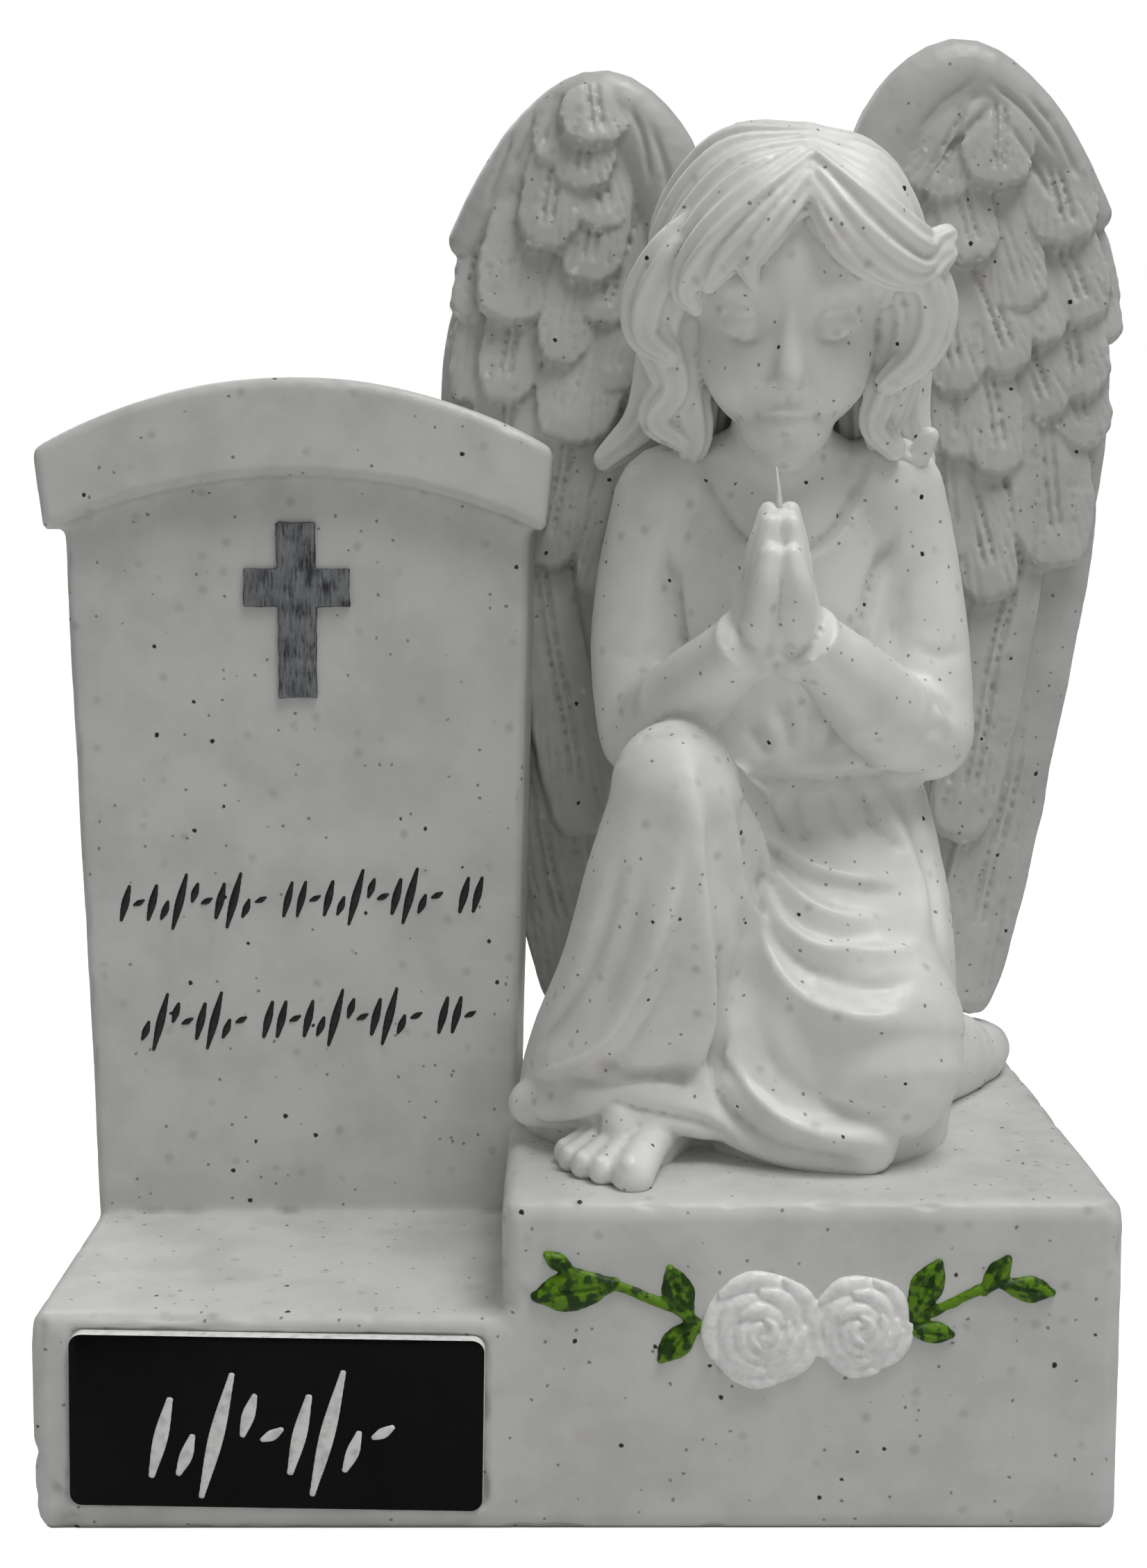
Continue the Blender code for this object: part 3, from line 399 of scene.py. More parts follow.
# Silver-grey metallic paint, dragged on with a stiff brush so that the dark ground shows
def crossPaint():
    n = Nodes(bpy.data.materials.new("crossPaint"))
    drawn = n.add("Mapping", {"Vector": n.place, "Scale": (1.0, 1.0, 0.13)})
    streak = n.add("TexNoise", {"Vector": drawn, "Scale": 1 / (0.35 * mm), "Detail": 5, "Roughness": 0.65})
    patch = n.add("TexNoise", {"Vector": n.place, "Scale": 1 / (3.2 * mm), "Detail": 3})
    worn = n.add("Math", {0: patch, 1: 0.5}, operation="MULTIPLY")
    worn = n.add("Math", {0: streak, 1: 0.6, 2: worn}, operation="MULTIPLY_ADD")
    colour = n.tinted("#85888b", "#35363a", n.add("MapRange", {0: worn, 1: 0.45, 2: 0.72}, **smooth))
    colour = n.tinted(colour, "#d5d7da", n.specks(0.9, 0.22, 0.3, 0.4, drawn), 0.6)
    # Painted shade: the cross's sides, which do not face the front, are darkened nearly to black
    facing = n.add("SeparateXYZ", {0: n.add("NewGeometry", {}, "Normal")}, "Y")
    side = n.add("MapRange", {0: facing, 1: -0.95, 2: -0.6}, **smooth)
    return n.look({"Base Color": n.tinted(colour, "#17171a", side, 0.85), "Metallic": 0.35,
                   "Roughness": n.add("MapRange", {0: streak, 1: 0.3, 2: 0.7, 3: 0.35, 4: 0.6}, **smooth),
                   "Normal": n.add("Bump", {"Height": streak, "Strength": 0.6, "Distance": 0.12 * mm})})


# The laminate's thin, semi-gloss black skin
def laminateSkin():
    n = Nodes(bpy.data.materials.new("laminateSkin"))
    colour = n.tinted("#040405", "#0b0b0d", n.patches(9, 3, 0.3, 0.8))
    return n.look({"Base Color": colour, "Roughness": n.patches(0.5, 4, 0.3, 0.7, 0.2, 0.3),
                   "Specular IOR Level": 0.12, "Normal": n.grain(0.5, 4, 0.01, 0.25)})


stoneResin, figureResin, wingResin = [castResin(name) for name in resinTones]
print("materials made")


# Plinth, headstone and cap
plinth = {"width": 140, "depth": 78, "ledgeRight": -9.4, "ledgeTop": 29, "blockTop": 44, "edge": 2.2}
headstone = {"centre": -39.3, "foot": 60.4, "head": 66.0, "front": 3.5, "back": 24.0, "top": 149.4, "sink": 2.2,
             "draft": 0.8}
capSize = {"width": 72.6, "thickness": 13.6, "rise": 9.9, "overhang": 3.5, "edge": 1.2}
plaqueSize = {"centre": (-38.2, 15.3), "width": 53.0, "height": 22.8, "thickness": 1.9, "corner": 1.6,
              "recess": 0.9, "margin": 0.6, "glue": 0.3, "tilt": -1.0}
blockFront = -plinth["depth"] / 2
recessFloor = blockFront + plaqueSize["recess"]
plaqueBack = recessFloor - plaqueSize["glue"]
plaqueFront = plaqueBack - plaqueSize["thickness"]
# Height and size of the casting's slow waves and of its edge chips, and the knocks in its
# corners: place, radius and depth
wear = {"waves": (0.16, 16), "chips": (0.9, 5),
        "knocks": [((-67, -39, 3.5), 4.5, 0.7), ((-59.5, -39, 3), 3, 0.5), ((-70, -37.5, 9), 3, 0.5),
                   ((-70, -39, 27), 3, 0.6), ((-11, -39, 43.5), 3, 0.5), ((-7.5, -39, 31), 2.5, 0.3),
                   ((70, -38, 43), 2.6, 0.4), ((-75, 1, 126), 2.5, 0.4)]}


def slab(name, outline, front, back, backGrowth=0.0):
    bm = bmesh.new()
    face = bm.faces.new([bm.verts.new((x, front, z)) for x, z in outline])
    pushed = bmesh.ops.extrude_face_region(bm, geom=[face])
    backVerts = [v for v in pushed["geom"] if isinstance(v, bmesh.types.BMVert)]
    bmesh.ops.translate(bm, vec=(0, back - front, 0), verts=backVerts)
    if backGrowth:
        middle = sum((v.co for v in backVerts), Vector()) / len(backVerts)
        half = max(abs(v.co.x - middle.x) for v in backVerts)
        grown = Matrix.Diagonal((1 + backGrowth / half, 1, 1, 1))
        bmesh.ops.transform(bm, matrix=grown, space=Matrix.Translation(-middle), verts=backVerts)
    bmesh.ops.recalc_face_normals(bm, faces=bm.faces)
    return newPiece(name, bm)


def arch(halfWidth, rise, crown, centre, steps):
    radius = (halfWidth**2 + rise**2) / (2 * rise)
    reach = math.asin(halfWidth / radius)
    turns = [reach - 2 * reach * i / steps for i in range(steps + 1)]
    return [(centre + radius * math.sin(a), crown - radius * (1 - math.cos(a))) for a in turns]


def roundedPlate(name, width, height, front, back):
    bm = bmesh.new()
    placed = Matrix.Translation((0, (front + back) / 2, 0)) @ Matrix.Diagonal((width, back - front, height, 1))
    bmesh.ops.create_cube(bm, size=1, matrix=placed)
    upright = [e for e in bm.edges if abs(e.verts[0].co.y - e.verts[1].co.y) > (back - front) / 2]
    bmesh.ops.bevel(bm, geom=upright, offset=plaqueSize["corner"], segments=6, profile=0.5, material=-1,
                    affect="EDGES")
    x, z = plaqueSize["centre"]
    turned = Matrix.Translation((x, 0, z)) @ Matrix.Rotation(math.radians(-plaqueSize["tilt"]), 4, "Y")
    bmesh.ops.transform(bm, matrix=turned, verts=bm.verts)
    return newPiece(name, bm)


def makeStone():
    left, right = -plinth["width"] / 2, plinth["width"] / 2
    outline = [(left, 0), (right, 0), (right, plinth["blockTop"]), (plinth["ledgeRight"], plinth["blockTop"]),
               (plinth["ledgeRight"], plinth["ledgeTop"]), (left, plinth["ledgeTop"])]
    stone = bevelled(slab("stoneBody", outline, blockFront, -blockFront), plinth["edge"])
    spring = headstone["top"] - capSize["rise"] - capSize["thickness"] / 2
    foot, head, centre = headstone["foot"] / 2, headstone["head"] / 2, headstone["centre"]
    sunk = plinth["ledgeTop"] - headstone["sink"]
    outline = [(centre - foot, sunk), (centre + foot, sunk)]
    outline += arch(head, capSize["rise"], spring + capSize["rise"], centre, 24)
    body = slab("headstone", outline, headstone["front"], headstone["back"], headstone["draft"])
    bevelled(body, capSize["edge"])
    half = capSize["width"] / 2
    outer = arch(half, capSize["rise"], headstone["top"], centre, 36)
    under = arch(half - capSize["edge"], capSize["rise"] * 0.8, headstone["top"] - capSize["thickness"], centre, 36)
    front = headstone["front"] - capSize["overhang"]
    cap = bevelled(slab("cap", outer + under[::-1], front, headstone["back"] + capSize["edge"]), capSize["edge"])
    combined(stone, combined(body, cap))
    grown = 2 * plaqueSize["margin"]
    recess = roundedPlate("recess", plaqueSize["width"] + grown, plaqueSize["height"] + grown, recessFloor - 5,
                          recessFloor)
    skinned(combined(stone, recess, "DIFFERENCE"), "stone")
    (waves, waveSize), (chips, chipSize) = wear["waves"], wear["chips"]
    spots, outward = vertexData(stone.data)
    edge = np.clip((1 - np.abs(outward).max(1)) / 0.25, 0, 1)
    chipped = np.array([max(0, noise.noise(Vector(s) / chipSize) - 0.12) for s in spots])
    waved = np.array([noise.noise(Vector(s) / waveSize) for s in spots])
    push = waves * waved * (spots[:, 2] > 2) - chips * edge * chipped
    for place, radius, depth in wear["knocks"]:
        near = np.clip(1 - np.linalg.norm(spots - place, axis=1) / radius, 0, 1)
        for i in np.nonzero(near)[0]:
            push[i] -= depth * min(1, 2.5 * near[i]) * max(0.1, 0.6 + noise.noise(Vector(spots[i]) / 2.2))
    moved = spots + outward * push[:, None]
    moved[:, 2] = np.where(spots[:, 2] < 0.4, 0, np.maximum(moved[:, 2], 0))  # the underside stays flat
    moveAll(stone.data, moved)
    return thinned(stone, "stone")


finishedCasting(makeStone(), stoneResin)


# The angel's forms: stations of x, y, z and radii, in the memorial's own frame
body = {
    "torso": [(31, 4, 88, 18.5, 13), (31, 3, 97, 18, 12), (29.5, 2, 108, 17.5, 11.5), (28.5, 2, 119, 18, 11),
              (28.3, 2.5, 129, 17, 10), (28.4, 3, 136, 12.5, 8)],
    "neck": [(28.5, 3, 133, 9), (28.6, 0.5, 140, 7.2), (28.7, -1.5, 148, 7)],
    "arms": [[(13.6, 3.5, 132, 8.4), (10.4, 3, 121, 7.4), (9.2, 1.5, 109, 7), (10, -1, 100, 6.8)],
             [(43.2, 3.5, 133, 8.8), (47.2, 3, 121, 7.4), (48.8, 1.5, 110, 7), (49.3, -1, 100, 6.8)],
             [(10.5, -2, 100.5, 6.6), (14.5, -11, 105.2, 6.2), (18.2, -16.8, 109.2, 5.2), (19.8, -18.8, 111, 4.2)],
             [(49, -2, 100, 6.8), (42, -11, 103.5, 6.4), (36, -17.5, 109.2, 5.4), (32.8, -20, 112.2, 4.2)]],
    # Sleeves that end in a thin flared lip around the wrists
    "sleeves": [[(14.2, -10.8, 105, 6.2, 6.2), (18.6, -17.3, 109.9, 5.2, 5.8), (21.6, -21.6, 113.2, 4.5, 6.2),
                 (22.5, -22.6, 114.2, 4.6, 6.6), (22.8, -22.8, 114.5, 2.2, 3)],
                [(42, -11.2, 103.8, 6.5, 6.5), (35.6, -17.9, 109.6, 5.4, 6), (30.9, -21.9, 113.8, 4.5, 6.3),
                 (29.8, -22.7, 115, 4.6, 6.7), (29.5, -22.9, 115.3, 2.2, 3)]],
    "flash": [(26.1, -26.4, 130.5, 0.5), (25.9, -26.4, 133.6, 0.3), (25.6, -26.4, 136.4, 0.12)],
}
# Two palms pressed together, mirrored about their middle, with a filling between them
hands = {
    "middle": 26.1,
    "palm": [(28.4, -21.4, 111.5, 2.8, 3.8), (28.95, -22.4, 116.5, 3.15, 4.8), (28.3, -23.2, 121.5, 2.7, 4.8),
             (27.6, -24, 126.5, 2.0, 4.2), (27.1, -24.4, 129.6, 1.5, 3.4)],
    "thumb": [(28.7, -24.4, 114.5, 2.2), (28.6, -27.6, 118, 2.2), (28.1, -29.2, 122, 1.85),
              (27.4, -29.4, 125.4, 1.35)],
    "fingers": [[(28.9, -26.6, 119, 1.7), (28.3, -27.6, 124.5, 1.55), (27.4, -27.8, 129.4, 1.25)],
                [(29.3, -24.8, 119, 1.75), (28.7, -25.6, 125.5, 1.6), (27.5, -25.8, 131.0, 1.3)],
                [(29.5, -22.8, 119, 1.65), (28.8, -23.4, 125.5, 1.5), (27.5, -23.6, 130.2, 1.2)],
                [(29.3, -20.9, 118, 1.5), (28.7, -21.3, 123.5, 1.35), (27.6, -21.5, 127.6, 1.05)]],
    "filling": [(26.1, -22.6, 113, 1.4, 3.6), (26.1, -24, 120, 1.3, 4.3), (26.1, -24.9, 126, 1.2, 3.9),
                (26.1, -25, 130.6, 1.0, 2.8)],
}
# The skirt over the raised right knee, the lap and the knee that rests on the block
dress = {
    "knee": ((13.3, -20.5, 94.2), (8.7, 9.3, 9.4)),
    "columns": [[(13.2, -20, 94, 8.6, 9), (12.5, -18.5, 84, 11, 10.5), (11.8, -15, 72, 13.3, 12.5),
                 (9.5, -9, 60, 15.3, 15), (8, -3, 51, 15.8, 17.5), (7.8, -1, 45, 15.4, 16.5)],
                [(31, 4, 92, 19, 12.5), (31.8, 1, 83, 20.2, 16), (33, -2, 72, 20.5, 20), (33.5, -3, 60, 20.3, 22.5),
                 (33.5, -3.5, 51, 20, 23.5), (34, -3, 46, 19, 22.5)]],
    "rolls": [[(30, 2, 74, 11), (39, -14, 63, 13.2), (40.5, -17.5, 57.5, 12.2)],
              [(25, 6, 76, 12), (19, -8, 86, 10), (13.5, -18, 93, 8.6)],
              [(18, -19, 53, 5), (27, -22, 49, 5), (38, -24, 47.5, 5)],
              [(42, 2, 53, 12), (50, 12, 50, 9), (57, 20, 48.5, 7)],
              [(-6, -10.5, 49.3, 3.4), (1.5, -18.5, 51, 3.3), (9.5, -22, 52, 3.3), (18, -20.5, 50.3, 3.6)]],
}
# Toes go from a root to a tip, each in X and Y, with a radius
foot = {
    "sole": [(15, -9, 48, 6, 5), (11, -17.5, 48.2, 6.2, 4), (7.2, -23.2, 46.8, 6.6, 3.2)],
    "toes": [((9.8, -25.4), (7.4, -32.6), 2.9), ((6.6, -25), (3.6, -30.6), 2.1), ((4.6, -23.5), (1.2, -28.1), 2.0),
             ((3, -21.2), (-0.5, -25.1), 1.9), ((2.2, -18.8), (-1.2, -21.8), 1.8)],
    "toeRoot": 47.4, "toeTip": 45.6,
    "heel": [(56, 18, 48.5, 5.6), (61, 25, 47.6, 5.6), (64.5, 32, 46.8, 4.2)],
}


def clothedForms():
    forms = [sweep(body["torso"], level=True), sweep(body["neck"])]
    forms += [sweep(arm) for arm in body["arms"]]
    forms.append(ball(*dress["knee"]))
    forms += [sweep(column, level=True, sides=40) for column in dress["columns"]]
    return forms + [sweep(roll) for roll in dress["rolls"]]


def handForms():
    forms = []
    for line in [hands["palm"], hands["thumb"]] + hands["fingers"]:
        forms += [sweep(line, sides=20), sweep(mirrored(line, hands["middle"]), sides=20)]
    return forms + [sweep(hands["filling"], sides=20)]


def footForms():
    forms = [sweep(foot["sole"])]
    root, low = foot["toeRoot"], foot["toeTip"]
    for (x, y), (tipX, tipY), radius in foot["toes"]:
        along = Vector((tipX - x, tipY - y, 0)).normalized()
        forms.append(sweep([(x + 1, y + 4, root + 0.2, radius), (x, y, root, radius * 0.86),
                            (tipX, tipY, low, radius)], sides=18))
        nail = Vector((tipX, tipY, low + radius * 0.62)) + along * radius * 0.35
        forms.append(ball(nail, (radius * 0.5, radius * 0.6, radius * 0.45), turn=(20, 0, -15)))
    return forms + [sweep(foot["heel"])]


# Folds and creases: points in X and Z, width across, height, which is below zero for a groove,
# and the lean
dressFolds = [
    ([(14.6, 99), (15.4, 92.6), (15.6, 86.5), (16.5, 78), (17.2, 70), (17.2, 62), (16.6, 55.3)], 2.0, 2.6, 0.8),
    ([(20.0, 90), (22.6, 80), (23.2, 72), (21, 63)], 2.8, -1.5),
    ([(18.6, 76), (19.4, 68), (18.6, 61), (18.6, 56), (20.8, 51.6), (24.4, 48.8)], 0.9, -1.8),
    ([(19.0, 97), (20.6, 88.3), (23.8, 77.8), (27.2, 70.5), (31.4, 66.8), (38, 65.4), (44, 66)], 1.6, 1.9, 0.7),
    ([(20.4, 97), (22.6, 90), (25.5, 84.4), (30.2, 79.4), (35.4, 77), (42, 76.6)], 1.5, 2.0, 0.8),
    ([(22.6, 91), (24.4, 83.4), (28, 76.2), (33, 73.4), (41, 72.8), (46, 73.4)], 1.3, 1.6, 0.7),
    ([(25, 88.4), (30.2, 83.6), (36.5, 81.4), (44.5, 80.4)], 1.4, 1.4, -0.8),
    ([(26.6, 75), (31.5, 70.6), (38.5, 69), (45, 69.8)], 1.1, -0.8),
    ([(13.2, 91), (11.8, 79), (7.9, 68), (3.8, 61.4), (-2, 57), (-5.4, 54.2)], 1.9, 2.3, 0.8),
    ([(14.2, 78), (11.4, 68), (7.6, 60.8), (3.2, 55.4)], 1.0, -1.0),
    ([(6, 88), (4.4, 80), (1.2, 70), (-3, 62), (-6.3, 57)], 1.3, -1.0),
    ([(9, 84), (6.6, 74), (3.4, 66)], 1.0, -0.5),
    ([(16.6, 57), (19.5, 51.6), (25.9, 47.6), (32.9, 46), (40, 46)], 1.4, -1.8),
    ([(20.5, 66), (21.4, 57), (25.7, 51.9), (32.7, 49.2), (42, 48.5)], 1.5, 1.8, -0.7),
    ([(23.5, 66), (26, 58.5), (31, 54.5), (38, 52.5), (46, 53)], 1.3, -0.7),
    ([(-7, 49.2), (-3.5, 47.2), (2.3, 49.6), (6, 52.4), (14.9, 50.6), (17.8, 49.2), (21.4, 47.1)], 0.9, -1.4),
    ([(2, 57.5), (9, 56), (16.6, 57)], 1.1, -1.1),
    ([(-3, 54), (3, 53.6), (9.4, 55), (16, 54.2)], 1.1, 1.1, 0.6),
    ([(22, 95.4), (29, 94.2), (36.5, 94.4), (45, 94.6), (49.5, 95)], 0.9, -1.5, 0.5),
    ([(24, 97.4), (31, 96), (38, 96.4), (47, 96.6)], 1.2, 0.6),
    ([(27, 93.4), (27.6, 90), (29, 87)], 0.8, -0.7),
    ([(30.1, 94), (30.8, 90), (32.5, 86)], 0.9, -0.9),
    ([(35, 93.6), (36, 90), (38.4, 86)], 0.8, -0.6),
    ([(39.5, 93.6), (41.8, 88), (45, 84.5)], 1.0, -1.0),
    ([(44.5, 94), (47.5, 86.7), (49.6, 79), (50, 71)], 1.3, -1.3),
    ([(41.5, 94), (44.5, 87), (47.2, 80), (47.6, 73)], 1.2, 0.9),
    ([(23.8, 102), (26.7, 97)], 1.0, -0.8),
    ([(28, 105), (30.1, 98)], 1.1, -0.9),
    ([(32.5, 104), (32.2, 98)], 0.9, -0.5),
    ([(36, 104), (34.5, 98)], 1.0, -0.7),
    ([(40, 103), (38.4, 98)], 0.9, -0.6),
    ([(12.6, 127), (13.6, 121), (14.4, 115), (15.6, 109)], 0.8, -2.0),
    ([(11.2, 124), (13, 118), (14, 112)], 1.0, -0.5),
    ([(44.6, 129), (41.8, 122), (39.9, 115), (39.7, 110)], 1.1, -1.9, 0.5),
    ([(46.6, 124), (44.6, 118), (43.8, 112)], 1.0, -0.5),
    ([(4.5, 101), (8.5, 105), (13.5, 105.6)], 1.3, -0.7),
    ([(5, 97.5), (9, 101.4), (13.5, 102.6)], 0.9, -0.6),
    ([(53, 102), (50, 105), (45.5, 106)], 1.4, -0.7),
    ([(52.6, 98.5), (49.6, 101.4), (46, 102.2)], 1.4, -0.5),
    ([(3.6, 112), (8, 111), (12.5, 113)], 0.9, -0.4),
    ([(55, 112), (50.4, 111), (46, 113)], 0.9, -0.4),
    ([(18.2, 109), (20.6, 112.4), (20.2, 117)], 0.8, -0.5),
    ([(34.2, 109), (32, 112.4), (32.4, 117)], 0.8, -0.5),
]
neckline = [([(16.6, 140), (18.6, 134.5), (21.4, 129.3), (24.6, 126.4), (28.7, 125.2), (32.6, 126.4), (35.8, 129.3),
              (38.6, 134.5), (40.6, 140)], 0.7, -1.3),
            ([(15, 140), (17, 134), (20.2, 128.2), (24, 125), (28.7, 123.7), (33.2, 125), (37, 128.2),
              (40.2, 134), (42.2, 140)], 0.9, 0.45)]


def makeFigure():
    clothed = fused("clothed", clothedForms(), "body")
    carve(clothed, dressFolds)
    carve(clothed, neckline)
    sleeves = [sweep(stations, perSpan=8) for stations in body["sleeves"]]
    figure = fused("figure", [asForm(clothed)] + sleeves + handForms() + footForms(), "figure")
    roughened(figure, "figure")
    bm = bmesh.new()
    for part in (figure.data, sweep(body["flash"], sides=12)):
        bm.from_mesh(part)
    bm.to_mesh(figure.data)
    bm.free()
    return thinned(figure, "figure")


finishedCasting(makeFigure(), figureResin)

# The head is modelled upright about its own centre, then bowed and set on the neck
headPlace = {"centre": (28.7, -3.5, 160.5), "bow": 17, "turn": -3}


# Strokes for both sides of the face, from those of one side
def paired(strokes):
    return [([(side * x, z) for x, z in points], width, height) for points, width, height in strokes
            for side in (-1, 1)]


socketStrokes = paired([([(5.8, -1.2)], 3.3, -1.7)])
faceStrokes = [([(-4.1, -13.4), (-2.2, -13.2), (-0.8, -13.0), (0, -13.25), (0.8, -13.0), (2.2, -13.2),
                 (4.1, -13.4)], 0.42, -0.75)]
faceStrokes += paired([([(4.2, -13.4)], 0.7, -0.5)])
faceStrokes += [([(0, -9.8), (0, -11.6)], 0.6, -0.35), ([(-0.9, -16.4), (0, -16.6), (0.9, -16.4)], 0.9, -0.4)]
faceStrokes += paired([([(9.4, 2.6), (6, 3.9), (2.8, 2.6)], 1.1, 0.45)])
lidStrokes = paired([([(9.2, -2.4), (7.6, -3.3), (5.7, -3.6), (3.4, -2.9)], 0.34, -0.6),
                     ([(9.3, -1.1), (7.6, 0.6), (5.5, 1.0), (3.2, -0.6)], 0.32, -0.42),
                     ([(1.5, -9.2)], 0.5, -0.5)])


def skullForms():
    parts = [((0, 2, 3), (14.2, 17.4, 15.6)), ((0, -2.5, 2), (13.2, 14.2, 13)), ((0, -5.2, -6), (11.9, 12.0, 12.6)),
             ((0, -9.6, -15.4), (6.4, 6.6, 5.6)), ((0, -11.6, -18.4), (3.8, 4.4, 3.4)),
             ((5.3, -9.0, -8.8), (5.6, 5.9, 5.8)), ((-5.3, -9.0, -8.8), (5.6, 5.9, 5.8)),
             ((0, -12.6, -12.6), (4.6, 4.0, 4.2))]
    forms = [ball(centre, size) for centre, size in parts]
    forms.append(sweep([(0, -14.6, 2, 2.0), (0, -16.4, -3, 1.8), (0, -18.2, -7.2, 2.0)], sides=20))
    return forms


def featureForms():
    forms = []
    for side in (-1, 1):
        forms.append(ball((side * 1.7, -16.7, -8.0), (1.2, 1.4, 1.05)))
        forms.append(sweep([(side * 3.7, -14.2, -13.2, 0.5), (side * 2.1, -15.4, -12.8, 0.8),
                            (side * 0.9, -16.0, -12.45, 0.95), (0, -16.0, -12.7, 0.85)], sides=18))
        forms.append(sweep([(side * 3.3, -14.4, -13.8, 0.4), (side * 1.8, -15.3, -14.3, 0.85),
                            (0, -15.7, -14.5, 1.0)], sides=18))
        forms.append(ball((side * 5.7, -11.5, -1.7), (3.4, 2.9, 2.7)))
        lid = [(side * 2.9, -12.9, -1.2, 0.5), (side * 5.2, -14.0, 0.7, 0.7), (side * 7.8, -12.9, 0.4, 0.7),
               (side * 9.4, -11.4, -1.6, 0.5)]
        forms.append(sweep(lid, sides=16))
    return forms


def slerp(a, b, t):
    angle = a.angle(b)
    return (a * math.sin((1 - t) * angle) + b * math.sin(t * angle)) / math.sin(angle)


# Combed locks go from the parting, over these degrees of rise, turn and drop, with a radius along them
hair = {
    "centre": (0, 2.8, 4.2), "radii": (14.7, 17.4, 15.9), "parting": 0.16, "locks": 13, "strands": 7, "depth": 0.12,
    "rise": (40, 92), "turn": (34, 135), "drop": (8, 52),
    "thickness": ((0, 1.7), (0.3, 2.7), (0.6, 3.0), (0.85, 2.8), (1, 1.8)),
    "brow": [
        [(1.2, -9.5, 18.6, 2.2), (-4.8, -13.6, 14.4, 2.9), (-10.4, -13.6, 8.6, 3.1), (-13.4, -12.4, 3.4, 2.2),
         (-12.2, -13.0, 0.6, 1.1)],
        [(1.4, -11.6, 16.4, 2.0), (-2.4, -14.8, 12, 2.4), (-5.4, -16.2, 7.6, 1.8), (-5.0, -16.6, 4.6, 0.9)],
        [(1.2, -10.6, 17.4, 2.1), (-3.8, -14.4, 12.8, 2.6), (-8.6, -15.2, 7.6, 2.3), (-10.6, -14.6, 4.0, 1.2)],
        [(3.4, -9.5, 18.4, 2.2), (8.6, -12.6, 14.2, 2.9), (13.8, -11.2, 9.6, 3.2), (17.6, -8.6, 7.4, 2.6),
         (20.4, -7, 8.6, 1.7)],
        [(3.4, -11.4, 16.4, 2.1), (7.6, -14.2, 11.6, 2.8), (12.8, -13.0, 7.2, 2.8), (17.4, -9.8, 5.0, 2.2),
         (20.6, -8, 6.6, 1.5)],
        [(3.2, -12.4, 15.2, 1.8), (6.4, -15, 10, 2.3), (11.6, -13.8, 5.8, 2.1), (16.4, -10.8, 3.6, 1.5)],
    ],
    "sides": [
        [(-11.5, -7.5, 11, 2.4), (-15.8, -8, 6.4, 3.2), (-18.6, -7, 1, 3.3), (-18.8, -6.5, -3.8, 2.8),
         (-15.6, -8, -6.5, 1.7)],
        [(-15, -5, 3, 3.4), (-17, -4, -4, 3.6), (-15, -5.5, -11, 3), (-17.5, -5, -16, 2.4), (-14, -5.5, -19, 1.6)],
        [(-14, -2, -2, 3.6), (-13.5, -3, -12, 3), (-12.4, -4, -19, 2.4), (-14.5, -3.5, -24, 1.6)],
        [(-14, 3, 0, 5), (-16, 5, -10, 4.4), (-19, 6, -19, 3.2), (-25, 6, -25, 1.8)],
        [(12, -8, 10, 2.4), (16.8, -8, 5, 3), (19.2, -7, -1, 3.1), (17.8, -7, -6.5, 2.7), (13.5, -8, -10.5, 1.7)],
        [(15, -5, 3, 3.4), (16.2, -4, -4, 3.4), (14.2, -5, -11, 2.8), (12.4, -6, -16.5, 2.2), (15, -7, -20, 1.6)],
        [(14, -2, -3, 3.6), (15, -2, -12, 3.2), (13.5, -3, -19, 2.4), (17.5, -4, -22.5, 1.8), (20, -4, -19, 1.3)],
        [(14, 3, 0, 5), (16, 5, -10, 4.4), (17.5, 5, -18, 3.2), (20, 4, -25, 1.8)],
    ],
}


# Long locks combed down from a parting over a round skull, with brow locks and side curls
def hairForms():
    centre, radii = Vector(hair["centre"]), Vector(hair["radii"])
    locks = []
    for side in (-1, 1):
        for i in range(hair["locks"]):
            t = i / (hair["locks"] - 1)
            rise = math.radians(hair["rise"][0] + hair["rise"][1] * t)
            start = Vector((hair["parting"], -math.cos(rise), math.sin(rise))).normalized()
            turn = math.radians(side * (hair["turn"][0] + hair["turn"][1] * t))
            drop = math.radians(hair["drop"][0] - hair["drop"][1] * min(1, 2.2 * t))
            end = Vector((math.sin(turn) * math.cos(drop), -math.cos(turn) * math.cos(drop), math.sin(drop)))
            stations = []
            for step, radius in hair["thickness"]:
                outward = slerp(start, end, step)
                lift = 0.3 + (0.9 + 0.25 * (i % 2)) * math.sin(3 * step)
                stations.append((*(centre + outward * radii + outward * lift), radius))
            locks.append(stations)
    locks += hair["brow"] + hair["sides"]
    locks += [[(x * 0.9, 9, 2, 5.6), (x, 12, -8, 5.4), (x * 1.1, 11, -20, 4.4), (x * 1.2, 9, -28, 2.4)]
              for x in (-11, -4, 4, 11)]
    locks += [[(x * 0.9, 2, -4, 4.6), (x, 4, -14, 4.2), (x * 1.05, 6, -24, 3.2)] for x in (-11.5, 11.5)]
    return [ball(centre, hair["radii"])] + [sweep(stations, sides=56, perSpan=7, lobes=hair["strands"],
                                                  depth=hair["depth"], twist=0.06) for stations in locks]


def makeHead():
    skull = fused("skull", skullForms(), "skull")
    carve(skull, socketStrokes)
    face = fused("face", [asForm(skull)] + featureForms(), "face")
    carve(face, faceStrokes)
    carve(face, lidStrokes)
    head = fused("head", [asForm(face)] + hairForms(), "head")
    bowed = Euler((math.radians(headPlace["bow"]), 0, math.radians(headPlace["turn"]))).to_matrix().to_4x4()
    head.data.transform(Matrix.Translation(headPlace["centre"]) @ bowed)
    return thinned(roughened(head, "head"), "head")


finishedCasting(makeHead(), figureResin)

